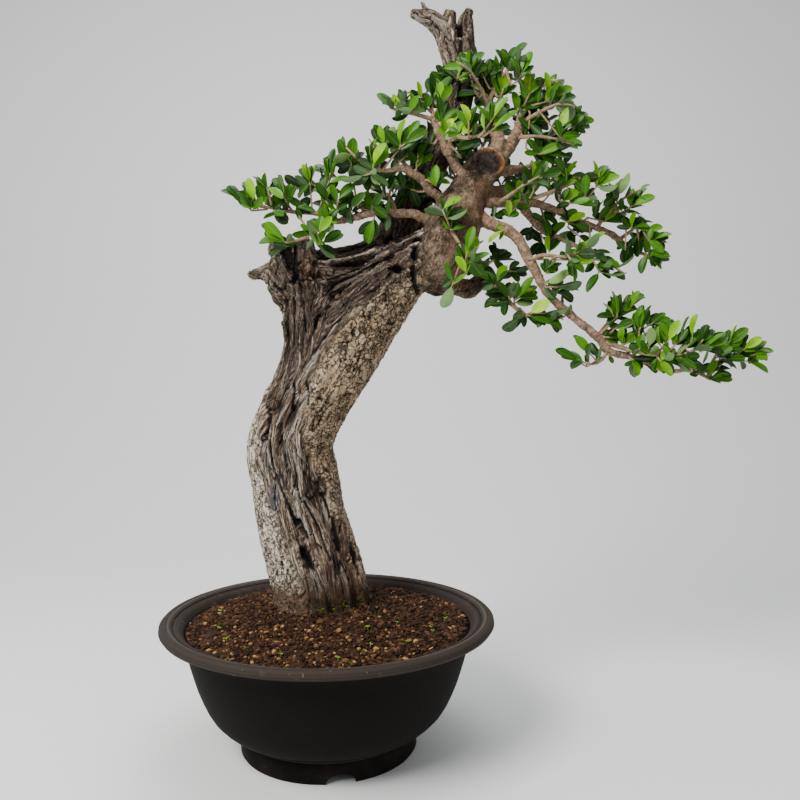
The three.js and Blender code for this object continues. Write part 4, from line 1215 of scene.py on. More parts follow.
def make_moss(core):
    """Moss at the trunk's front foot: low tufts on the wood and on the soil beside it."""
    stamp = grain_stamp(3)
    shape = shape_with("tone")
    for n in range(MOSS_TUFTS):
        low, high = MOSS_TALL
        x, z = mix(*MOSS_WIDE, draw(n, 1)), mix(low, high - 8 * draw(n, 5), draw(n, 2) ** 1.4)
        spot = lay_on_front(core, x, z, 0.2)
        if noise.noise(spot / 6) < 0.05:
            continue
        size = mix(*MOSS_SIZES, draw(n, 3))
        turn = Matrix.Rotation(6.3 * draw(n, 4), 4, "Z") @ Matrix.Diagonal((size, size, 0.8 * size, 1))
        stamp.press(shape, Matrix.Translation(spot) @ turn, draw(n, 6))
    new_piece("moss", shape, moss_finish())


def moss_finish():
    finish = Finish("dry_moss", Specular_IOR_Level=0.1)
    speck = finish.noise(finish.millimetres(), 0.6, 3, 0.7)
    color = finish.ramp(
        finish.attribute("tone") * 0.5 + speck * 0.5,
        (0.2, 24, 24, 8), (0.5, 58, 62, 18), (0.75, 96, 102, 30), (0.95, 140, 142, 60))
    return finish.wear(color, 0.9 + 0.1 * speck, finish.bump(speck, 0.4, 1.0))


def slab_of(mesh, low, high):
    """The part of a mesh between two heights, closed at both."""
    slab = bmesh.new()
    slab.from_mesh(mesh)
    for height, way in ((low, -1), (high, 1)):
        cut = bmesh.ops.bisect_plane(slab, geom=[*slab.verts, *slab.edges, *slab.faces], clear_outer=True,
                                     plane_co=(0, 0, height), plane_no=(0, 0, way))
        rim = [item for item in cut["geom_cut"] if isinstance(item, bmesh.types.BMEdge)]
        bmesh.ops.holes_fill(slab, edges=rim)
    return slab


def make_wood():
    mesh, core = raw_wood()
    WoodSurface(mesh).carve()
    make_moss(core)
    finish = WoodFinish().mixed()
    for name, (low, high) in SPLITS.items():
        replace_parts(new_piece(name, slab_of(mesh, low, high), finish), "trunk_and_limbs")
    return core


class WoodFinish(Finish):
    """Bare wood, bark, young limbs and the knotty heart, mixed by what each vertex says it is."""

    def __init__(self):
        super().__init__("bark_and_deadwood", Specular_IOR_Level=0.25)
        self.grain = self.attribute("grain", "Vector")
        for name in (*WOOD_MARKS, "recess", *STAINS):
            setattr(self, name, self.attribute(name))
        self.place = self.millimetres()
        self.lump = self.noise(self.place, 6, 5, 0.72)
        self.fleck = self.noise(self.place, 1.5, 4, 0.7)
        self.pit = self.noise(self.place, 1.0, 2, 0.5)
        self.patch = self.noise(self.place, 19, 3, 0.6)
        self.fibre = self.along(0.06, 1.3, 4, 0.7)
        self.strand = self.along(0.05, 3.4, 3, 0.6)
        self.thread = self.along(0.05, 0.7, 3, 0.65)
        broad = self.along(0.12, 13, 3, 0.6)
        self.slit, self.hair = self.strand.crease(0.03, 0.0), self.fibre.crease(0.05, 0.0)
        self.line = self.thread.crease(0.07, 0.01) * broad.between(0.35, 0.6)
        self.streak = self.thread.swing(0.9) + self.fibre.swing(0.9) + self.strand.swing(0.9)
        self.streak = self.streak + broad.swing(1.1) + 0.57
        self.rings = self.noise(self.scaled(self.grain, (0.3, 0.3, 1)), 1.5, 3, 0.6)
        self.tick = self.noise(self.scaled(self.place, (1, 1, 0.5)), 1.6, 3, 0.6)
        self.crack = self.bark_cracks()

    def along(self, stretch, size, detail, rough):
        """Noise drawn out along the grain."""
        return self.noise(self.scaled(self.grain, (1, 1, stretch)), size, detail, rough)

    def bark_cracks(self):
        """1 in the cracks between the bark's plates."""
        values = {"Vector": self.grain, "Scale": 0.4, "Detail": 3.0}
        wobble = self.add("ShaderNodeTexNoise", values=values, output="Color")
        swing = self.scaled(self.shifted(wobble, (-0.5, -0.5, -0.5)), (4.2, 4.2, 4.2))
        warped = self.shifted(self.grain, swing)
        edge = self.plate_edge(self.scaled(warped, (1, 1, 1.05)), 5.0).between(0.1, 0.045)
        chips = self.plate_edge(self.scaled(warped, (1, 1, 0.8)), 2.3).between(0.13, 0.04)
        seam = self.noise(self.scaled(warped, (1, 1, 0.35)), 7, 2).crease(0.035, 0.01)
        thin = chips * self.fleck.between(0.5, 0.62) * 0.5
        plates = (edge * self.lump.between(0.42, 0.5) + thin) * (1 - 0.8 * self.calm)
        return self.clamped(plates + seam * 0.9)

    def bare_wood(self):
        wood = self.ramp(
            self.streak, (0.2, 38, 29, 23), (0.36, 94, 76, 60), (0.49, 158, 134, 109), (0.62, 204, 184, 158),
            (0.8, 238, 227, 210))
        grey = self.ramp(self.streak, (0.2, 52, 48, 48), (0.5, 128, 123, 121), (0.8, 188, 183, 180))
        # The wood under blackening and painted shadow.
        char_and_shade_wood = self.ramp(
            self.streak, (0.25, 14, 10, 8), (0.45, 46, 33, 26), (0.6, 86, 65, 51), (0.8, 158, 132, 112))
        wood = self.blend(self.silver, wood, grey)
        wood = self.blend(self.char * 0.95, wood, char_and_shade_wood)
        grooves = self.clamped(self.slit * 0.85 + self.hair * 0.6 + self.line * 0.6)
        return self.blend(grooves * 0.92, wood, paint(18, 13, 11))

    def old_bark(self):
        ochre = self.ramp(
            self.tone.swing(0.22) + self.fleck.swing(0.8) + self.patch.swing(0.5) + 0.6,
            (0.15, 70, 53, 40), (0.36, 128, 102, 78), (0.52, 170, 142, 112), (0.68, 202, 177, 146),
            (0.88, 228, 210, 186))
        cream = self.ramp(
            self.tone.swing(0.35) + self.fleck.swing(1.1) + self.patch.swing(0.5) + 0.68,
            (0.15, 80, 66, 52), (0.36, 150, 132, 111), (0.55, 204, 190, 168), (0.8, 236, 226, 208))
        depth = self.blend(self.left, paint(24, 17, 13), paint(62, 48, 36))
        return self.blend(self.crack * 0.92, self.blend(self.left, ochre, cream), depth)

    def young_bark(self):
        bark = self.ramp(
            self.fleck.swing(0.35) + self.lump.swing(0.9) + self.rings.swing(0.8) + 0.53,
            (0.15, 56, 41, 32), (0.38, 102, 79, 62), (0.56, 138, 113, 91), (0.8, 176, 153, 130))
        sores = self.noise(self.place, 7, 2).between(0.62, 0.7)
        return self.blend(sores * 0.6, bark, paint(146, 92, 60))

    def heart_bark(self):
        bark = self.ramp(
            self.tick.swing(0.8) + self.lump.swing(1.1) + self.patch.swing(1.2) + 0.38,
            (0.12, 30, 23, 18), (0.34, 72, 58, 45), (0.5, 108, 90, 71), (0.66, 144, 125, 102),
            (0.88, 184, 168, 144))
        bark = self.blend(self.pit.between(0.6, 0.68) * 0.6, bark, paint(34, 26, 20))
        face = self.ramp(
            self.lump.swing(1.1) + self.patch.swing(0.8) + 0.5,
            (0.25, 26, 20, 18), (0.5, 70, 60, 55), (0.7, 104, 88, 76))
        bark = self.blend(self.sawn, bark, face)
        return self.blend(self.callus, bark, self.blend(self.fleck, paint(96, 48, 22), paint(206, 136, 74)))

    def color(self):
        color = self.blend(self.young, self.old_bark(), self.young_bark())
        color = self.blend(self.heart, color, self.heart_bark())
        # Blackened bark and painted shadow darken the bark together.
        charred_and_shaded = self.char * (1 - self.sawn) * self.fleck.between(0.62, 0.42) * 0.9
        color = self.blend(charred_and_shaded, color, paint(28, 21, 17))
        color = self.blend(self.bare, color, self.bare_wood())
        rusty = self.blend(self.fibre, paint(70, 44, 30), paint(168, 122, 90))
        color = self.blend(self.rust * 0.55, color, rusty)
        # Painted shade in the recesses, with some dirt.
        crevice_dirt_and_shade = self.recess.between(0.1, 1.1) * (0.45 + 0.35 * self.bare)
        color = self.blend(crevice_dirt_and_shade, color, paint(20, 15, 12))
        # Painted highlight on the raised ridges.
        proud = self.recess.between(-0.3, -1.2) * (0.3 + 0.2 * self.bare) * (1 - 0.85 * self.char)
        color = self.blend(proud, color, paint(218, 204, 184))
        # Painted shade in cracks, cuts and the creases round knobs.
        return self.blend(self.crease_shade.between(0.15, 0.9) * 0.9, color, paint(17, 12, 10))

    def soiled(self, color):
        """The colour with soil splashed up the foot, and moss."""
        level = self.split(self.place, 2) + self.lump.swing(22)
        soil = self.blend(self.fleck, paint(26, 17, 12), paint(122, 86, 60))
        color = self.blend(level.between(170, 148) * 0.85, color, soil)
        green = self.blend(self.fleck, paint(16, 14, 8), paint(68, 66, 28))
        color = self.blend(self.clamped(self.moss * (1.6 * self.lump)), color, paint(24, 18, 13))
        return self.blend(self.moss * self.fleck.between(0.42, 0.6) * 0.95, color, green)

    def mixed(self):
        ridges = self.thread.swing(1.0) + self.fibre.swing(1.6) + self.strand.swing(1.6)
        fibres = (ridges - self.slit * 0.6 - self.hair * 0.4 - self.line * 0.4) * self.bare
        scales = (1.4 - 1.4 * self.crack + self.fleck.swing(1.2)) * (1 - self.bare)
        scales = scales * (1 - self.young) * (1 - self.heart)
        wrinkles = (self.rings.swing(0.8) + self.lump.swing(1.2)) * self.young
        pits = self.pit.between(0.62, 0.7) * 0.3
        crust = (self.tick.swing(0.8) + self.lump.swing(1.4) - pits) * self.heart
        bumps = self.bump(fibres + scales + wrinkles + crust, 1.2, 1.0)
        return self.wear(self.soiled(self.color()), 0.8 + 0.15 * self.fleck, bumps)


# ---------- leafy sprays ----------
LEAF_ROWS = [  # share of the way to the tip, and share of the full width
    (0, 0.07), (0.1, 0.1), (0.25, 0.62), (0.43, 0.92), (0.62, 1.0), (0.8, 0.87), (0.93, 0.54), (1, 0.14),
]
LEAF_FOLD = 0.2
LEAF_THICKNESS = 0.02
LEAF_SHAPES = [(0.06, 0.1), (0.16, -0.2), (-0.06, 0.05), (0.24, 0.2), (0.1, -0.1)]  # droop and twist
LEAF_LENGTH = 19
LEAF_RATIO = 0.4  # the least width of a leaf in CLUSTERS, as a share of its length
LEAF_LAYERS = ("tone", "wood", "middle", "upper", "shade")
LEAF_SPAN = 26  # no leaf is seen to reach farther than this from its root
LEAF_COVER = 4.5  # how far a leaf hides what is beside its midrib
STEM_TIP = 1.1  # radii of wood
TWIG_RADII = (1.5, 1.15, 0.7)
STALK_RADII = (0.8, 0.6)
SHOOT_RADII = (1.3, 0.8)
# Each leafy spray: its stem's radius at the root, the length of its leaves, and the stem's points.
SPRAYS = {
    "left_tip": (2.8, 20, [
        (11, -26, 501), (-9, -30, 508), (-27, -34, 508), (-51, -36, 512), (-73, -36, 514),
    ]),
    "left_low": (2, 22, [(15, -25, 503), (6, -38, 497), (-6, -46, 490), (-16, -54, 479), (-30, -58, 472)]),
    "left_mid": (2.2, 20, [(37, -22, 509), (29, -20, 523), (12, -14, 532), (-14, -8, 539), (-35, -4, 537)]),
    "left_back": (2.4, 19, [(65, -12, 513), (57, 8, 534), (33, 28, 551), (3, 40, 560)]),
    "shoulder_left": (2.4, 21, [(71, -28, 552), (50, -32, 547), (32, -34, 556), (19, -34, 568)]),
    "shoulder_up": (2.2, 21, [(74, -24, 551), (67, -20, 570), (54, -14, 581), (38, -8, 589)]),
    "shoulder_back": (2.2, 19, [(88, -18, 541), (74, 14, 567), (57, 38, 583), (36, 52, 590)]),
    "crown_left": (2.4, 18, [(100, -28, 596), (80, -32, 600), (65, -34, 602), (50, -34, 611)]),
    "crown_left_up": (2.2, 18, [(101, -26, 594), (97, -18, 614), (88, -14, 625), (73, -10, 628)]),
    "crown_front": (2.4, 19, [
        (116, -25, 568), (116, -42, 575), (132, -52, 571), (150, -56, 577), (162, -58, 587),
    ]),
    "top_left": (2.6, 20, [(156, 7, 620), (146, -4, 635), (136, -14, 646), (124, -20, 652)]),
    "top_middle": (2.6, 20, [(156, 8, 626), (163, 0, 640), (172, -8, 650), (183, -12, 656)]),
    "top_back": (2.4, 19, [(157, 10, 616), (160, 36, 640), (152, 58, 654), (140, 70, 658)]),
    "top_right": (2.6, 20, [(187, 8, 610), (201, 0, 632), (215, -6, 641), (226, -10, 640)]),
    "right_crown": (2.4, 22, [(186, 8, 604), (204, -6, 611), (221, -16, 615), (234, -22, 610)]),
    "right_crown_low": (2.2, 20, [(180, 8, 590), (200, -2, 589), (219, -8, 584), (235, -12, 578)]),
    "right_crown_back": (2.4, 19, [(184, 8, 598), (200, 30, 622), (222, 48, 636), (238, 58, 634)]),
    "right_stub": (2.4, 19, [(190, 16, 563), (208, 20, 571), (225, 22, 581), (235, 22, 593)]),
    "right_upper": (2.8, 22, [(177, -4, 522), (199, -10, 528), (223, -14, 536), (247, -16, 547)]),
    "right_upper_front": (2.2, 22, [(164, -5, 524), (175, -28, 528), (186, -40, 534), (196, -46, 538)]),
    "right_upper_back": (2.6, 20, [(184, 17, 532), (212, 40, 554), (242, 54, 564), (268, 60, 566)]),
    "right_far_up": (2.2, 20, [(266, 22, 506), (275, 14, 520), (289, 8, 532), (303, 4, 539)]),
    "right_far_mid": (2.2, 18, [(288, 22, 494), (300, 12, 503), (312, 6, 516), (318, 2, 523)]),
    "right_far_tip": (2.2, 17, [(304, 22, 482), (313, 16, 478), (321, 12, 474), (328, 10, 478)]),
    "right_low_front": (2.4, 23, [(191, -26, 464), (202, -44, 468), (215, -54, 462), (234, -58, 469)]),
    "right_low_mid": (2.8, 19, [(225, 29, 499), (245, 20, 487), (267, 14, 474), (290, 10, 458)]),
    "right_hang": (2.2, 20, [(173, -11, 428), (189, -18, 414), (207, -22, 408), (224, -24, 413)]),
    "cascade_tip": (2.6, 19, [
        (293, -26, 372), (318, -24, 362), (340, -20, 362), (360, -16, 368), (387, -12, 374),
        (409, -10, 380),
    ]),
    "cascade_over": (2.6, 19, [
        (258, -26, 390), (281, -34, 381), (305, -40, 376), (327, -44, 376), (348, -46, 385),
    ]),
    "cascade_up": (2.2, 18, [(254, -26, 393), (265, -20, 406), (280, -14, 419), (292, -10, 429)]),
    "cascade_up_far": (2, 18, [(281, -26, 376), (298, -12, 391), (314, -4, 403), (329, 0, 410)]),
    "cascade_low": (1.8, 26, [(264, -26, 380), (256, -34, 371), (247, -38, 367), (239, -40, 369)]),
    "trunk_shoot": (2.2, 25, [(114, -28, 498), (120, -46, 482), (127, -54, 468), (132, -58, 460)]),
    "back_left": (3, 20, [(136, 10, 545), (128, 38, 557), (113, 62, 572), (92, 78, 586)]),
    "back_middle": (3, 20, [(144, 8, 556), (150, 42, 584), (160, 66, 608), (170, 80, 622)]),
    "back_right": (3, 20, [(158, 10, 540), (185, 48, 556), (212, 74, 570), (239, 90, 578)]),
}
# How much the shoots on the far sprays turn upwards.
LIFTS = {
    "left_back": 0.4, "shoulder_back": 0.4, "top_back": 0.3, "right_crown_back": 0.3,
    "right_upper_back": 0.3, "back_left": 0.3, "back_middle": 0.2, "back_right": 0.2,
}
# Leaf clusters as a viewer at EYE sees them on the front plane: where the twig leaves its limb, its end,
# how far that end is behind the limb (less than 0: in front of it), and its leaves as (tip x, tip z,
# width seen, tone 0 to 9). A tone below 0 shows the leaf's grey underside.
# A leaf's tone is partly its age and partly painted shade: leaves deep in the crown and behind the limbs
# have low tones.
CLUSTERS = [
    # Left limb, outer end.
    ((-50, 510), (-67, 508), -3, [(-93, 531, 4, 3), (-88, 530, 6, 2), (-77, 526, 12, 4), (-57, 521, 7, 5)]),
    ((-48, 510), (-66, 516), -6, [(-70, 538, 9, 7), (-61, 532, 10, 4), (-80, 526, 9, 2), (-77, 514, 9, 5)]),
    ((-46, 510), (-53, 530), -2, [(-65, 541, 3, 5), (-57, 543, 4, 3), (-44, 534, 6, 2), (-39, 521, 6, 5),
      (-61, 526, 4, 4)]),
    ((-28, 508), (-37, 519), -5, [(-45, 541, 7, 3), (-40, 542, 3, 5), (-32, 533, 10, 4), (-49, 517, 5, 1),
      (-28, 531, 5, 3)]),
    ((-12, 508), (-14, 534), -4, [(-20, 551, 7, 7), (-18, 552, 3, 3), (-8, 549, 3, 8), (2, 536, 5, -3),
      (-27, 540, 8, -2), (-23, 523, 5, 2)]),
    ((-6, 508), (4, 536), -3, [(8, 565, 3, 3), (-1, 557, 6, 7), (1, 553, 6, 2), (21, 541, 6, 5),
      (9, 557, 6, 5), (-5, 547, 3, 1)]),
    ((8, 506), (0, 518), -8, [(9, 537, 6, 6), (-9, 534, 8, 3), (-12, 518, 8, 1), (12, 528, 6, 3),
      (-4, 532, 7, 2)]),
    ((10, 505), (12, 518), -4, [(26, 534, 7, 3), (5, 532, 7, 4), (21, 513, 6, 2), (-3, 522, 7, 3)]),
    ((-30, 507), (-48, 508), -8, [(-34, 497, 11, -2), (-56, 500, 3, 1), (-54, 520, 6, 1), (-36, 519, 6, 1),
      (-38, 503, 9, 3)]),
    ((-10, 508), (-27, 512), -7, [(-17, 513, 8, -2), (-34, 520, 7, 2), (-22, 500, 6, 2), (-12, 519, 7, 0),
      (-10, 510, 6, 3)]),
    ((-22, 500), (-6, 477), -14, [(9, 465, 7, -3), (0, 493, 7, 5), (17, 487, 8, 3), (-15, 492, 6, -6),
      (-23, 495, 5, 5), (-16, 474, 5, -4)]),
    ((-10, 499), (-5, 488), -16, [(-4, 504, 8, 5), (5, 503, 7, 7), (-12, 502, 4, 6), (9, 491, 7, -5),
      (-17, 498, 7, -4)]),
    ((-14, 486), (-36, 479), -8, [(-56, 496, 13, 5), (-60, 484, 4, 4), (-53, 469, 6, -3),
      (-31, 487, 7, -2)]),
    ((5, 504), (3, 498), -10, [(9, 511, 7, 6), (-5, 511, 8, 5), (11, 500, 7, 7), (-2, 514, 7, 4),
      (13, 509, 5, 2)]),
    # Left limb, middle.
    ((30, 512), (24, 552), -5, [(12, 573, 8, 3), (26, 575, 11, 5), (6, 553, 8, -2), (13, 543, 9, 1),
      (35, 563, 5, 1), (30, 540, 7, 1)]),
    ((45, 545), (44, 549), -6, [(45, 562, 8, 7), (59, 561, 7, 5), (37, 566, 5, 2), (31, 556, 7, -3),
      (53, 571, 5, 7), (39, 571, 3, 7), (27, 548, 6, 2)]),
    ((42, 543), (42, 542), -9, [(26, 547, 6, -4), (15, 535, 7, -3), (27, 531, 8, -2), (52, 532, 10, -5),
      (58, 531, 6, 2), (37, 526, 7, 1), (47, 546, 7, -5)]),
    ((50, 545), (55, 571), -4, [(45, 587, 7, 2), (50, 586, 7, 6), (64, 585, 9, -6), (57, 560, 5, 4),
      (62, 572, 7, 1)]),
    ((55, 548), (69, 566), -8, [(55, 581, 10, 3), (76, 580, 13, 6), (92, 583, 8, 4), (70, 592, 3, 6),
      (87, 590, 9, 4), (84, 574, 8, 3), (60, 562, 7, 2)]),
    ((65, 550), (75, 558), 4, [(85, 575, 8, 3), (64, 570, 8, 1), (93, 568, 7, 2), (84, 560, 6, 4),
      (70, 553, 8, 1)]),
    ((84, 546), (84, 552), -4, [(99, 561, 8, 5), (89, 561, 6, 6), (94, 575, 7, 3), (76, 566, 6, 3)]),
    ((98, 566), (96, 570), 2, [(93, 590, 3, 2), (84, 572, 4, 1), (104, 582, 4, -3), (80, 589, 8, 4)]),
    ((95, 536), (102, 531), -14, [(102, 550, 8, 5), (115, 535, 4, 6), (94, 538, 3, 6)]),
    ((44, 510), (43, 513), -6, [(51, 524, 8, 3), (57, 503, 9, 2), (36, 526, 8, 4), (31, 516, 7, 3),
      (55, 516, 4, 2)]),
    ((60, 528), (57, 506), -8, [(59, 518, 5, 2), (57, 490, 6, -2), (46, 515, 6, 1)]),
    ((24, 506), (23, 510), -6, [(23, 495, 7, -2), (36, 525, 8, 4), (10, 517, 8, 2), (35, 500, 3, 1),
      (14, 505, 6, 2), (21, 528, 7, 1)]),
    ((48, 508), (45, 500), -4, [(31, 487, 10, 1), (38, 480, 8, 4), (47, 485, 7, 2), (55, 498, 4, 1)]),
    ((90, 525), (76, 529), 16, [(67, 512, 11, 0), (86, 512, 11, 0), (90, 528, 8, 2), (64, 534, 8, 1),
      (80, 542, 9, 1)]),
    ((100, 522), (96, 530), 18, [(112, 546, 11, 0), (92, 548, 9, 1), (104, 514, 10, 0), (84, 522, 8, 1)]),
    ((70, 548), (62, 540), 12, [(50, 540, 8, 1), (66, 556, 9, 1), (72, 530, 9, 0), (56, 528, 7, 1),
      (78, 536, 8, 1)]),
    # Shoots in front of the live wood.
    ((116, 490), (108, 509), -12, [(124, 522, 4, 6), (116, 519, 6, 2), (91, 508, 6, -4), (132, 506, 6, -5),
      (106, 520, 4, 4)]),
    ((116, 490), (116, 491), -12, [(128, 495, 5, 4), (118, 505, 3, 2), (107, 498, 3, 6)]),
    ((124, 476), (130, 451), -20, [(139, 485, 13, 7), (136, 494, 8, 4), (121, 467, 9, 8), (119, 470, 8, 3),
      (151, 468, 6, 6)]),
    ((126, 462), (117, 440), -20, [(108, 419, 12, -6), (111, 461, 6, 3), (130, 449, 4, 6)]),
    ((148, 462), (144, 452), -8, [(156, 440, 8, 3), (131, 448, 5, 4), (150, 466, 5, 2)]),
    # Crown, left.
    ((88, 598), (65, 601), -5, [(48, 617, 9, 3), (61, 614, 6, 7), (64, 607, 7, 7), (71, 617, 5, -4),
      (74, 607, 8, -2), (80, 599, 6, -4)]),
    ((90, 598), (76, 598), -4, [(62, 591, 4, 3), (80, 617, 7, 6), (74, 611, 8, 3), (86, 612, 8, 5),
      (92, 602, 9, 4)]),
    ((95, 600), (88, 609), -5, [(84, 626, 4, 8), (90, 619, 3, 2), (79, 605, 6, -3), (96, 613, 8, 3),
      (92, 600, 7, 2)]),
    ((98, 600), (99, 608), -3, [(95, 625, 3, 3), (104, 618, 10, 5), (91, 614, 8, 2), (110, 604, 8, 3),
      (96, 634, 6, 2)]),
    ((102, 598), (107, 611), -5, [(107, 626, 9, 7), (116, 622, 8, 6), (97, 632, 7, 4), (113, 632, 6, 3),
      (102, 619, 6, 3)]),
    ((104, 590), (110, 578), -9, [(108, 592, 5, 6), (103, 583, 5, 7), (114, 573, 7, -7), (117, 593, 7, 8),
      (122, 596, 7, 7)]),
    ((106, 585), (107, 593), -2, [(121, 602, 8, 3), (112, 607, 8, 3), (103, 600, 8, 4), (125, 598, 8, 2),
      (110, 583, 6, 4), (104, 612, 7, 2)]),
    ((114, 570), (124, 578), -10, [(139, 589, 10, 8), (126, 591, 7, 6), (117, 592, 7, 7), (134, 577, 6, 5),
      (113, 577, 6, 5)]),
    ((118, 566), (125, 556), 2, [(136, 569, 8, 4), (131, 560, 8, 1), (142, 571, 6, 3), (117, 562, 8, 1),
      (122, 571, 6, 2)]),
    ((132, 572), (132, 590), -9, [(129, 607, 4, 8), (143, 595, 5, 4), (138, 603, 5, 3), (122, 600, 6, 5)]),
    ((140, 574), (152, 589), -12, [(150, 607, 5, 5), (141, 605, 5, 4), (147, 601, 6, 6), (160, 608, 6, 6),
      (167, 613, 6, 6)]),
    ((144, 575), (156, 584), -10, [(162, 602, 9, 8), (176, 600, 6, 5), (170, 583, 3, 5), (148, 596, 7, 3)]),
    # Crown, top.
    ((128, 612), (121, 629), -10, [(128, 654, 9, 8), (135, 654, 6, 5), (144, 640, 7, 5), (109, 633, 6, 3),
      (102, 636, 5, 3), (131, 630, 7, 6)]),
    ((120, 604), (110, 628), -2, [(98, 636, 6, 3), (118, 634, 7, 3), (104, 640, 4, 2), (115, 618, 7, 4),
      (100, 626, 6, 4)]),
    ((140, 612), (132, 636), -5, [(130, 656, 7, 5), (144, 655, 5, 4), (149, 641, 9, 3), (124, 650, 6, 4),
      (138, 650, 6, 3)]),
    ((152, 618), (144, 634), -4, [(156, 640, 7, 3), (142, 649, 7, 3), (133, 640, 7, 4), (152, 645, 7, 2)]),
    ((158, 622), (164, 640), -6, [(160, 657, 3, 3), (154, 650, 7, 4), (173, 651, 8, 4), (152, 633, 8, 2),
      (148, 645, 8, 1)]),
    ((160, 624), (170, 645), -4, [(184, 661, 6, 4), (182, 648, 5, 5), (166, 655, 4, 4), (175, 640, 7, 3)]),
    ((172, 622), (180, 633), -6, [(190, 653, 13, 5), (176, 640, 7, -2), (172, 648, 7, 3),
      (192, 640, 6, 3)]),
    ((160, 610), (164, 621), -10, [(160, 635, 6, 7), (171, 635, 8, 6), (167, 627, 7, 6), (155, 629, 7, 4),
      (176, 622, 7, 4)]),
    ((182, 602), (187, 614), -8, [(185, 634, 6, 8), (180, 626, 7, 4), (199, 631, 8, 6), (174, 633, 3, 6),
      (193, 630, 5, 1), (197, 617, 6, 2)]),
    ((188, 604), (204, 608), -7, [(203, 635, 5, 8), (209, 631, 8, 6), (211, 622, 9, 6), (217, 626, 6, 4),
      (226, 623, 6, 5), (219, 617, 6, 4), (228, 606, 8, -6), (196, 622, 7, 3)]),
    ((196, 600), (217, 574), -10, [(228, 603, 13, 8), (237, 596, 8, 4), (234, 578, 7, 3), (236, 568, 5, 4),
      (222, 588, 6, 1), (212, 592, 7, 3)]),
    ((228, 585), (234, 590), -2, [(247, 593, 6, 5), (233, 605, 4, 3), (238, 580, 6, 3)]),
    ((188, 600), (187, 583), -4, [(196, 600, 9, 5), (206, 590, 9, 1), (178, 594, 7, 2), (200, 576, 8, 2),
      (181, 574, 7, 1)]),
    ((184, 566), (196, 560), -5, [(216, 569, 9, 5), (206, 562, 9, 3), (224, 560, 7, 2), (183, 562, 6, 4),
      (200, 578, 8, 1), (214, 552, 8, 3), (186, 574, 7, 2)]),
    ((176, 596), (178, 604), -4, [(175, 617, 7, 4), (186, 612, 8, -3), (192, 606, 8, 3), (183, 597, 7, -4),
      (198, 605, 8, 3)]),
    ((158, 600), (148, 615), 2, [(133, 625, 6, 6), (140, 613, 8, -3), (156, 622, 5, 2), (122, 614, 6, -4),
      (137, 606, 8, 2)]),
    ((150, 590), (140, 585), 8, [(126, 590, 9, 1), (134, 598, 9, 1), (150, 576, 8, 1), (132, 572, 9, 0),
      (154, 600, 9, 1)]),
    ((176, 585), (190, 590), 10, [(206, 600, 9, 1), (208, 584, 9, 0), (196, 574, 9, 0), (180, 600, 9, 1),
      (172, 592, 8, 1)]),
    ((180, 580), (200, 574), 12, [(216, 584, 9, 0), (220, 570, 9, 1), (204, 558, 8, 0), (188, 566, 8, 0),
      (214, 560, 8, 1)]),
    # Right side, upper limbs.
    ((170, 512), (169, 502), -8, [(168, 518, 6, 8), (162, 506, 5, 2), (178, 507, 7, 3)]),
    ((170, 503), (179, 519), -8, [(165, 533, 7, 4), (178, 536, 7, 5), (184, 540, 4, 6), (172, 513, 6, 5),
      (196, 522, 7, 2), (188, 512, 7, 3)]),
    ((186, 516), (192, 527), -7, [(192, 555, 6, 8), (185, 540, 4, 4), (204, 545, 7, 4), (181, 548, 5, 4),
      (198, 536, 6, 3), (203, 554, 7, -6)]),
    ((200, 516), (211, 529), -10, [(221, 548, 10, 9), (200, 541, 8, 5), (205, 524, 8, 5), (224, 534, 9, 3),
      (216, 516, 7, 2)]),
    ((214, 520), (222, 540), -2, [(232, 553, 5, 4), (227, 541, 5, 1), (212, 556, 8, 3), (230, 536, 5, 6),
      (214, 532, 8, 2)]),
    ((215, 518), (226, 515), -10, [(233, 528, 10, 6), (224, 528, 9, 2), (243, 518, 8, 6), (249, 514, 8, 4),
      (212, 512, 7, 1)]),
    ((236, 518), (240, 524), -4, [(240, 541, 10, 5), (229, 538, 8, 3), (247, 530, 7, -3), (250, 520, 7, -4),
      (232, 520, 7, 2)]),
    ((240, 520), (249, 530), -5, [(248, 555, 5, 6), (250, 548, 7, 7), (262, 545, 8, 6), (270, 542, 6, 6),
      (268, 529, 6, -6)]),
    ((258, 510), (267, 521), -5, [(280, 540, 9, -7), (262, 534, 5, 2), (270, 534, 3, 6), (256, 515, 8, 2),
      (262, 508, 7, 2)]),
    ((268, 505), (280, 511), -5, [(282, 529, 8, 5), (295, 530, 6, 5), (302, 523, 7, 5), (291, 508, 5, 4),
      (272, 520, 6, 3)]),
    ((240, 502), (256, 498), -8, [(271, 511, 8, 7), (262, 513, 8, 3), (250, 519, 8, 2), (266, 501, 7, 3),
      (279, 501, 7, 3), (246, 508, 7, 1)]),
    ((216, 502), (222, 498), -8, [(239, 505, 9, 8), (232, 509, 8, 5), (218, 511, 8, 1), (210, 491, 8, 3),
      (236, 494, 9, 3), (247, 490, 9, 4)]),
    ((200, 505), (202, 498), 0, [(212, 512, 8, 1), (196, 490, 7, 1), (190, 505, 7, 2), (207, 486, 8, 3),
      (214, 496, 7, 2)]),
    ((205, 480), (206, 470), -8, [(204, 486, 5, 7), (225, 489, 9, -5), (216, 485, 8, 4), (212, 498, 8, 2)]),
    ((198, 490), (200, 478), 12, [(189, 468, 11, 0), (190, 490, 10, 0), (200, 464, 9, 0),
      (212, 474, 9, 1)]),
    ((188, 464), (222, 463), -10, [(248, 482, 9, 6), (257, 489, 6, 6), (246, 462, 9, 8), (217, 471, 7, 3),
      (240, 474, 8, 5)]),
    ((222, 495), (232, 486), 4, [(244, 494, 9, 3), (228, 474, 9, 1), (246, 478, 8, 2), (220, 482, 8, 1),
      (236, 500, 9, 2)]),
    ((278, 500), (282, 492), -5, [(297, 499, 7, 3), (290, 506, 6, 2), (300, 494, 6, 5), (274, 502, 6, 3),
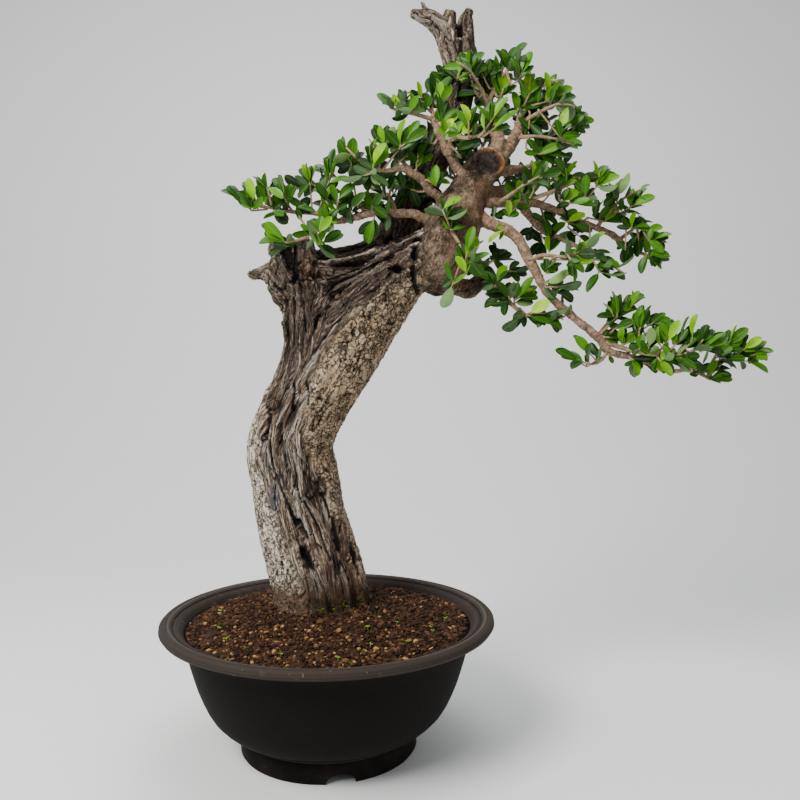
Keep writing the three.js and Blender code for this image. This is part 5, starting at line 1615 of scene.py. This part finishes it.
      (283, 507, 3, 6), (268, 494, 6, 1)]),
    ((292, 490), (298, 480), -5, [(312, 484, 8, 5), (310, 496, 6, 6), (318, 489, 4, 5), (300, 492, 7, 5),
      (311, 471, 8, 4), (296, 470, 6, 3), (306, 486, 7, 3)]),
    ((288, 485), (288, 478), 2, [(300, 472, 7, 2), (282, 490, 7, 3), (294, 492, 7, 3), (278, 472, 6, 1),
      (288, 466, 6, 1)]),
    ((300, 482), (297, 464), -6, [(317, 468, 7, 4), (305, 458, 9, 3), (310, 455, 5, 4), (288, 453, 6, 3),
      (302, 474, 6, 5)]),
    ((278, 498), (276, 472), -3, [(274, 460, 8, 0), (268, 472, 5, 1), (283, 463, 4, 1), (280, 482, 6, 1),
      (268, 480, 5, 2)]),
    ((242, 500), (245, 464), -5, [(262, 472, 7, 2), (250, 474, 6, 1), (259, 462, 9, 2), (244, 452, 7, 1),
      (272, 458, 5, 5), (240, 474, 6, 4)]),
    ((244, 468), (252, 452), -5, [(241, 436, 9, 3), (276, 447, 3, -6), (266, 456, 7, 3), (256, 462, 9, 3),
      (262, 446, 6, 1)]),
    ((222, 470), (229, 458), -5, [(228, 448, 8, 3), (238, 452, 7, 3), (234, 462, 7, 2), (222, 460, 7, 1),
      (231, 443, 3, 4)]),
    ((206, 462), (204, 450), -4, [(214, 458, 5, 5), (208, 466, 5, 4), (216, 462, 4, 6), (198, 460, 5, 2),
      (212, 452, 4, 6)]),
    ((202, 443), (203, 438), -8, [(225, 451, 9, -8), (236, 440, 7, -3), (215, 443, 7, 3),
      (208, 426, 7, -4)]),
    ((208, 434), (214, 434), -5, [(228, 434, 8, 3), (230, 426, 7, 0), (220, 441, 7, 4), (214, 446, 7, 3),
      (206, 426, 6, 3)]),
    # The hanging branch below the live wood.
    ((160, 446), (156, 438), -8, [(142, 452, 8, 3), (166, 459, 10, 6), (167, 455, 7, 3), (145, 435, 7, -4),
      (148, 430, 7, 1)]),
    ((166, 436), (170, 426), -8, [(145, 423, 6, 2), (152, 420, 7, 2), (158, 442, 9, 2), (150, 432, 9, 1),
      (174, 442, 9, -3), (164, 412, 8, 2)]),
    ((174, 426), (178, 428), -8, [(191, 448, 8, 5), (178, 443, 8, 3), (193, 436, 8, 7), (190, 424, 7, -6),
      (196, 430, 6, 2)]),
    ((176, 422), (185, 413), -8, [(207, 425, 12, 8), (164, 396, 11, -2), (198, 404, 8, 2), (174, 402, 7, 3),
      (216, 411, 7, 1), (208, 403, 6, 4), (172, 411, 8, -3)]),
    ((186, 414), (202, 414), -5, [(224, 417, 7, -4), (217, 398, 7, 3), (214, 406, 6, 3), (196, 402, 7, 2),
      (220, 409, 4, 1)]),
    ((152, 462), (160, 462), 10, [(152, 476, 4, 0), (166, 475, 4, 0), (172, 470, 7, 1), (150, 466, 6, 0),
      (166, 452, 6, 1), (175, 464, 4, 1), (157, 480, 3, 0)]),
    ((162, 452), (176, 452), 8, [(190, 457, 8, -1), (164, 446, 6, 1), (180, 444, 6, 2), (178, 463, 5, 1)]),
    ((152, 500), (160, 506), 10, [(152, 504, 6, 1), (156, 512, 6, 1), (168, 508, 7, 1), (164, 502, 5, 3)]),
    ((172, 494), (160, 488), -2, [(158, 494, 5, 7), (150, 480, 3, 8), (160, 482, 4, 6)]),
    ((190, 496), (196, 490), 4, [(178, 489, 6, 0), (200, 492, 6, 0), (188, 480, 9, 0)]),
    # Cascade.
    ((258, 377), (241, 365), -4, [(215, 380, 7, 4), (240, 376, 4, 2)]),
    ((258, 377), (250, 370), -4, [(231, 393, 9, 5), (253, 379, 6, 1), (246, 378, 3, 1)]),
    ((262, 378), (262, 374), -3, [(265, 368, 5, 2)]),
    ((252, 394), (269, 411), -4, [(258, 425, 2, 8), (250, 412, 5, 1), (262, 420, 7, 1), (268, 430, 10, 4),
      (266, 435, 2, 6), (285, 409, 5, 2), (284, 418, 5, 2), (259, 404, 8, 1), (258, 412, 7, 1)]),
    ((262, 404), (282, 420), -4, [(280, 432, 7, 3), (288, 435, 6, 6), (274, 418, 8, 4), (292, 432, 3, 7)]),
    ((262, 396), (272, 403), -3, [(285, 403, 4, 1), (262, 402, 4, 1), (284, 408, 9, 3)]),
    ((286, 380), (289, 398), -3, [(290, 420, 8, 4), (297, 418, 8, 4), (299, 422, 3, 3), (284, 410, 4, 6),
      (284, 403, 5, 1)]),
    ((290, 398), (304, 406), -3, [(313, 415, 7, 3), (318, 409, 9, 4), (298, 412, 3, 3), (310, 408, 5, 2)]),
    ((255, 392), (262, 392), -6, [(260, 400, 7, 1), (274, 393, 8, 2), (270, 399, 6, 1), (270, 387, 6, 4),
      (280, 390, 7, 1)]),
    ((270, 384), (279, 387), -5, [(272, 401, 4, 6), (284, 397, 9, 6), (276, 400, 6, 1), (291, 396, 8, 4),
      (274, 394, 7, 4)]),
    ((288, 378), (289, 382), -5, [(280, 385, 8, 3), (296, 386, 8, 5), (292, 395, 9, 4), (298, 378, 6, 2),
      (283, 376, 6, 1)]),
    ((296, 376), (299, 386), -5, [(301, 401, 10, -6), (309, 396, 6, 1), (308, 382, 9, 3),
      (292, 390, 7, 3)]),
    ((305, 376), (316, 389), -5, [(318, 407, 10, 5), (326, 408, 9, 7), (320, 402, 7, 7), (309, 405, 8, 5),
      (303, 399, 4, 7), (312, 382, 6, 4)]),
    ((316, 378), (328, 391), -4, [(330, 412, 3, 6), (322, 397, 7, 5), (334, 399, 8, 3), (340, 392, 7, 3),
      (320, 386, 6, 2)]),
    ((330, 380), (338, 388), -3, [(339, 413, 2, 8), (344, 396, 7, 3), (333, 396, 7, 3), (346, 388, 7, 1)]),
    ((340, 380), (348, 390), -4, [(352, 404, 8, 3), (358, 401, 10, 3), (343, 400, 8, 3), (356, 392, 8, 2)]),
    ((345, 378), (352, 384), -6, [(366, 398, 5, 6), (364, 392, 9, 5), (370, 390, 9, 4), (345, 390, 8, 1),
      (366, 380, 7, 1)]),
    ((358, 374), (371, 385), -4, [(374, 395, 9, 4), (380, 403, 2, 8), (389, 401, 11, 4), (385, 391, 9, 5),
      (360, 394, 8, 3), (384, 381, 7, 2)]),
    ((375, 373), (385, 381), -5, [(403, 393, 9, 7), (390, 394, 7, 2), (401, 385, 9, 6), (396, 376, 8, 4),
      (376, 388, 7, 2)]),
    ((385, 373), (397, 377), -4, [(413, 381, 8, 5), (406, 388, 7, 6), (408, 374, 9, 5), (390, 368, 7, 2),
      (400, 370, 7, 4)]),
    ((378, 371), (389, 370), -3, [(409, 361, 4, 4)]),
    ((358, 374), (370, 372), -5, [(387, 373, 8, 4), (378, 368, 6, 1), (360, 380, 8, 1), (374, 384, 9, 4),
      (356, 384, 7, 2)]),
    ((322, 374), (334, 372), -3, [(334, 360, 9, -4), (342, 364, 8, 3), (322, 372, 7, 3), (346, 376, 7, 2),
      (328, 384, 7, 2)]),
    ((334, 362), (345, 358), -4, [(360, 366, 8, 3), (344, 370, 7, 2), (336, 358, 5, 2)]),
    ((345, 358), (354, 353), -4, [(376, 356, 8, 5), (360, 371, 6, 6), (366, 352, 7, 4)]),
    ((352, 356), (366, 368), -2, [(376, 356, 8, 2), (354, 362, 9, 2), (372, 378, 7, 1)]),
    ((306, 374), (309, 370), -5, [(315, 381, 7, 7), (322, 370, 7, 4), (312, 360, 7, 7), (321, 357, 9, 7),
      (302, 362, 6, 2)]),
    ((312, 372), (318, 372), -4, [(322, 382, 9, 2), (330, 366, 6, 4), (312, 384, 7, 6), (328, 376, 5, 2)]),
    ((280, 374), (284, 371), -6, [(286, 355, 9, -4), (290, 358, 4, 5), (294, 366, 9, 3), (300, 374, 6, 2),
      (276, 366, 5, 2)]),
    ((292, 370), (298, 368), -4, [(307, 360, 6, 2), (290, 376, 8, 1), (308, 372, 7, 2), (303, 378, 6, 1)]),
]


def leaf_stamp(droop, twist):
    """A blade of length 1 along +Y and width 1 along X, facing +Z, on a short stalk."""
    shape = bmesh.new()
    bmesh.ops.create_grid(shape, x_segments=2, y_segments=len(LEAF_ROWS) - 1, size=1)
    rows = sorted({round(vert.co.y, 4) for vert in shape.verts})
    for vert in shape.verts:
        far, wide = LEAF_ROWS[rows.index(round(vert.co.y, 4))]
        side = vert.co.x * wide / 2
        vert.co = (side, far, LEAF_FOLD * abs(side) - droop * far * far + twist * side * far)
    bmesh.ops.solidify(shape, geom=list(shape.faces), thickness=LEAF_THICKNESS)
    middle = shape.verts.layers.float.new("middle")
    upper = shape.verts.layers.float.new("upper")
    shape.normal_update()
    for vert in shape.verts:
        vert[middle] = abs(vert.co.x)
        vert[upper] = 1.0 if vert.normal.z > 0 else 0.0
    shade_smooth(shape, 50)
    return Stamp(shape, "tone", "wood", "shade")


LEAF_STAMPS = [leaf_stamp(droop, twist) for droop, twist in LEAF_SHAPES]


def add_leaf(target, root, tip, face, width, tone, seed):
    """A leaf from root to tip whose top faces this way."""
    along = tip - root
    length = along.length
    along.normalize()
    face = (face - along * face.dot(along)).normalized()
    axes = zip(along.cross(face) * width, along * length, face * length, root)
    stamp = LEAF_STAMPS[int(len(LEAF_STAMPS) * draw(seed, 90))]
    stamp.press(target, Matrix((*axes, (0, 0, 0, 1))), tone, 0, draw(seed, 91))


def add_twig(target, points, sides=6):
    """A thin stem through points [x, y, z, radius]; its path is returned for leaves to grow on."""
    path = Path(points)
    twig = tube(path, sides, max(3, int(path.length / 5)), plain)
    for face in twig.faces:
        face.smooth = True
    wood = twig.verts.layers.float.new("wood")
    for vert in twig.verts:
        vert[wood] = 1
    mesh = mesh_of(twig)
    target.from_mesh(mesh)
    bpy.data.meshes.remove(mesh)
    return path


def laid(x, z, depth):
    """The point this far behind the pot's axis that a viewer at EYE sees at [x, z] on the front plane."""
    scale = (depth - EYE[1]) / (FRONT - EYE[1])
    return Vector((EYE[0] + (x - EYE[0]) * scale, depth, EYE[2] + (z - EYE[2]) * scale))


def seen(point):
    """Where a viewer at EYE sees this point on the front plane."""
    return tuple(float(value[0]) for value in seen_from_front(np.array([point])))


def sight_to(point):
    return (point - Vector(EYE)).normalized()


class Canopy:
    """What the twigs can grow from, and where leaves may be added without changing the outline seen."""

    def __init__(self, core):
        self.core = core
        self.stems = {name: stem_of(root, points) for name, (root, leaf, points) in SPRAYS.items()}
        limbs = [part.path for part in wood_parts if part.kind == "young"]
        self.spots = np.vstack([path.spots for path in [*limbs, *self.stems.values()]])
        self.seen = np.stack(seen_from_front(self.spots), axis=1)
        self.leaves = []

    def wood_at(self, point):
        """Where the sight line to this point meets the wood, if it does."""
        return self.core.ray_cast(Vector(EYE), sight_to(point))[0]

    def brought_forward(self, point, gap):
        """The point, moved along its sight line until it is this far in front of any wood."""
        hit = self.wood_at(point)
        if hit is None or point.y < hit.y - gap:
            return point
        sight = sight_to(point)
        return hit - sight * gap / abs(sight.y)

    def support(self, x, z):
        """The frontmost spot of a limb or stem near [x, z]."""
        gaps = np.hypot(*(self.seen - (x, z)).T)
        near = np.flatnonzero(gaps < gaps.min() + 2)
        return Vector(self.spots[near[self.spots[near, 1].argmin()]])

    def spray_near(self, point):
        gaps = {name: np.linalg.norm(stem.spots - np.array(point), axis=1).min()
                for name, stem in self.stems.items()}
        return min(gaps, key=gaps.get)

    def hidden(self, point):
        """Whether a viewer at EYE sees this point among leaves laid so far, or behind wood."""
        x, z = seen(point)
        near = [leaf for leaf in self.leaves
                if abs(leaf[0][0] - x) < LEAF_SPAN and abs(leaf[0][1] - z) < LEAF_SPAN]
        if any(distance_to_line(np.array([x]), np.array([z]), leaf)[0] < LEAF_COVER for leaf in near):
            return True
        hit = self.wood_at(point)
        return hit is not None and hit.y < point.y


def stem_of(root, points):
    last = len(points) - 1
    return Path([[*point, mix(root, STEM_TIP, i / last)] for i, point in enumerate(points)])


def add_cluster(target, canopy, cluster, seed):
    """A twig from its limb to its end, the leaves that a viewer sees on it, and ones behind them, darker by
    painted shade.
    """
    start, end, behind, leaves = cluster
    foot = canopy.support(*start)
    node = laid(*end, foot.y + behind)
    if behind < 0:
        node = canopy.brought_forward(node, 5)
    middle = laid(*start, mix(foot.y, node.y, 0.3))
    points = [[*spot, radius] for spot, radius in zip((foot, middle, node), TWIG_RADII)]
    if (middle - foot).length < 3:
        del points[1]
    twig = add_twig(target, points) if (node - foot).length > 2 else None
    for n, (x, z, width, tone) in enumerate(leaves):
        place_leaf(target, canopy, twig, node, (x, z), width, tone, behind, seed + 0.37 * n)
    for n in range(len(leaves) - 1):
        first, second = leaves[n], leaves[(n + 2) % len(leaves)]
        x, z = (mix(a, b, draw(seed, n + 3)) for a, b in zip(first[:2], second[:2]))
        spot = (mix(end[0], x, 1.1), mix(end[1], z, 1.1))
        if math.dist(spot, end) > 7:
            # Leaves behind get a lower tone: painted shade.
            tone = max(abs(first[3]) - 3, 0)
            place_leaf(target, canopy, twig, node, spot, 7, tone, 9, seed + 0.37 * n + 5)


def place_leaf(target, canopy, twig, node, tip, width, tone, behind, seed):
    """A leaf of about natural length whose tip and width look as given to a viewer at EYE."""
    root = node
    if twig:
        roots = [twig.at(twig.length - back)[0] for back in (0, 3, 6, 9) if back < 0.7 * twig.length]
        root = min(roots, key=lambda spot: abs((laid(*tip, spot.y) - spot).length - LEAF_LENGTH))
    gap = (laid(*tip, root.y) - root).length
    swings = (0.1, 0.6) if behind > 0 or abs(tone) < 2 else (-0.45, 0.25)
    end = laid(*tip, root.y + mix(*swings, draw(seed, 4)) * gap)
    if behind < 0:
        end = canopy.brought_forward(end, 2)
    reach = (end - root).length
    if reach > 1.3 * LEAF_LENGTH:
        stalk = root + (end - root) * (1 - 1.15 * LEAF_LENGTH / reach)
        add_twig(target, [[*root, STALK_RADII[0]], [*stalk, STALK_RADII[1]]], 5)
        root = stalk
    length = (end - root).length
    canopy.leaves.append([seen(root), tip])
    sight = (Vector(EYE) - root).normalized()
    along = (end - root).normalized()
    face = (sight - along * sight.dot(along)).normalized()
    real_width = max(width * 0.94, LEAF_RATIO * length)
    tilt = max(math.acos(min(1, width / real_width)), 0.7 * draw(seed, 6))
    ways = [Matrix.Rotation(sign * tilt, 3, along) @ face for sign in (-1, 1)]
    face = max(ways, key=lambda way: way.z) if draw(seed, 8) < 0.75 else ways[0]
    add_leaf(target, root, end, face if tone >= 0 else -face, real_width, abs(tone) / 9, seed)


# Pairs of leaves on a twig without listed leaves: share of its leafy part, turned a quarter or
# not, spread, and size.
PAIRS = [(0.1, 1, 62, 0.9), (0.4, 0, 55, 1.0), (0.72, 1, 48, 1.0), (1.0, 0, 34, 0.8)]
WOOD_SPOTS = np.vstack([np.column_stack([part.path.spots, part.path.radii])[::2] for part in wood_parts])
SIDE_SHOOTS = 7
FIRST_CLUSTER = 101  # the first cluster's seed, clear of the sprays' seeds


def inside_wood(spot):
    gap = np.linalg.norm(WOOD_SPOTS[:, :3] - np.array(spot), axis=1) - WOOD_SPOTS[:, 3]
    return gap.min() < 1


def add_pairs(target, canopy, twig, part, leaf, seed):
    """Leaves in crossed pairs on the last part of a twig, where the listed leaves hide them."""
    turn = TURN * draw(seed, 1)
    for n, (share, odd, spread, size) in enumerate(PAIRS):
        point, radius, way, across, away = twig.at(twig.length - part * (1 - share))
        for side in (0, 1):
            quarters = odd + 2 * side
            key = seed + quarters / 4 + n * 3.1
            angle = turn + math.pi / 2 * (quarters + 0.5) + 0.9 * (draw(key, 7) - 0.5)
            out = across * math.cos(angle) + away * math.sin(angle)
            spread_now = math.radians(spread + 30 * (draw(key, 30) - 0.5))
            along = way * math.cos(spread_now) + out * math.sin(spread_now)
            face = Matrix.Rotation(1.4 * (draw(key, 31) - 0.5), 3, along) @ (way + UP * 0.4)
            length = leaf * size * mix(0.75, 1.15, draw(key, 50))
            tip = point + along * length
            if canopy.hidden(tip) and canopy.hidden(mix(point, tip, 0.5)) and not inside_wood(tip):
                width = length * mix(0.38, 0.52, draw(key, 51))
                add_leaf(target, point, tip, face, width, 0.1 + 0.6 * draw(key, 52) ** 1.5, key)


def add_side_shoots(target, canopy, stem, leaf, lift, seed):
    """Leafy shoots on the far side, which a viewer sees only through the gaps."""
    for k in range(SIDE_SHOOTS):
        place = mix(8, stem.length, (k + draw(seed, k)) / SIDE_SHOOTS)
        point, radius, way, across, away = stem.at(place)
        side = way.cross(UP).normalized()
        over = side.cross(way)
        swing = math.radians(mix(10, 95, draw(seed, k + 20)) * (1 if k % 2 else -1))
        course = way * mix(0.3, 0.8, draw(seed, k + 40)) + over * math.cos(swing) + side * math.sin(swing)
        tip = point + (course + UP * lift).normalized() * mix(12, 24, draw(seed, k + 60))
        if canopy.hidden(tip):
            shoot = add_twig(target, [[*point, SHOOT_RADII[0]], [*tip, SHOOT_RADII[1]]])
            add_pairs(target, canopy, shoot, shoot.length, leaf, seed + 7 * k + 7)


def add_stem(target, canopy, stem, root):
    """The stem, as far as the listed leaves hide it."""
    steps = [stem.length * share for share in (0, 0.2, 0.4, 0.6, 0.8, 1)]
    kept = [step for step in steps if step < 0.3 * stem.length or canopy.hidden(stem.at(step)[0])]
    shares = (0, 0.25, 0.5, 0.75, 1)
    add_twig(target, [[*stem.at(kept[-1] * share)[0], mix(root, 1.0, share)] for share in shares])


def make_sprays(core):
    """Every spray's stem and leaves. A listed cluster belongs to the spray nearest to it."""
    canopy = Canopy(core)
    finish = leaf_finish()
    shapes = {name: shape_with(*LEAF_LAYERS) for name in SPRAYS}
    for number, cluster in enumerate(CLUSTERS):
        start, end, behind = cluster[:3]
        node = laid(*end, canopy.support(*start).y + behind)
        add_cluster(shapes[canopy.spray_near(node)], canopy, cluster, number + FIRST_CLUSTER)
    for number, (name, (root, leaf, points)) in enumerate(SPRAYS.items()):
        stem, shape, seed = canopy.stems[name], shapes[name], number + 1
        add_stem(shape, canopy, stem, root)
        if name in LIFTS:
            add_side_shoots(shape, canopy, stem, leaf, LIFTS[name], seed)
        else:
            add_pairs(shape, canopy, stem, 0.5 * stem.length, leaf, seed)
        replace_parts(new_piece("leaves_" + name, shape, finish), "spray_" + name)
    make_seedlings(finish)


SEEDLINGS = [
    (-96, -48), (-62, -98), (-30, -112), (18, -118), (44, -96), (74, -84), (98, -52), (112, -12), (66, -50),
    (-84, -74), (-108, 6), (40, -66),
]
SEEDLING_HEIGHT = 3.6
SEEDLING_LEAF = (1.8, 3.0)


def make_seedlings(finish):
    """Tiny weeds, each a short stalk with four leaves."""
    shape = shape_with(*LEAF_LAYERS)
    for number, (x, y) in enumerate(SEEDLINGS):
        foot = Vector((x, y, soil_top(x, y) - 1))
        tip = foot + Vector((draw(number, 1) - 0.5, draw(number, 2) - 0.5, SEEDLING_HEIGHT))
        add_twig(shape, [[*foot, 0.35], [*tip, 0.3]], 5)
        for k in range(4):
            angle = 1.57 * k + 3 * draw(number, 3)
            way = Vector((math.cos(angle), math.sin(angle), 0.5))
            end = tip + way * mix(*SEEDLING_LEAF, draw(number, k + 5))
            add_leaf(shape, tip, end, UP, 1.5, 0.7, number + k)
    new_piece("seedlings", shape, finish)


def leaf_finish():
    """Leaves with a top from deep to fresh green, by a tone that is partly painted shade, a grey-green
    underside, and the bark of their twigs.
    """
    finish = Finish("olive_leaf", Specular_IOR_Level=0.2)
    place = finish.millimetres()
    tone, wood, shade, middle, upper = map(finish.attribute, ("tone", "wood", "shade", "middle", "upper"))
    cloud = finish.noise(place, 9, 3, 0.6)
    speck = finish.noise(place, 1.2, 2, 0.5)
    lit = tone + cloud.swing(0.3) + shade.swing(0.16)
    top = finish.ramp(
        lit, (0.0, 20, 50, 4), (0.2, 29, 68, 3), (0.42, 44, 90, 2), (0.62, 72, 127, 0), (0.82, 114, 168, 0),
        (1.0, 178, 218, 36))
    under = finish.ramp(lit, (0.1, 38, 56, 34), (0.5, 78, 106, 66), (0.9, 128, 160, 86))
    rib = middle.between(0.06, 0.01)
    leaf = finish.blend(rib * 0.3, finish.blend(upper, under, top), paint(120, 160, 50))
    bark = finish.ramp(
        speck * 0.5 + cloud * 0.5, (0.3, 88, 68, 50), (0.5, 146, 122, 94), (0.7, 190, 172, 140))
    rough = 0.26 + 0.16 * cloud + 0.28 * (1 - upper) + 0.3 * wood
    return finish.wear(finish.blend(wood, leaf, bark), rough, finish.bump(speck + rib * 0.6, 0.25, 0.5))


set_camera()
set_light()
make_floor()
make_pot()
finish_drain_mesh()
make_soil()
make_sprays(make_wood())
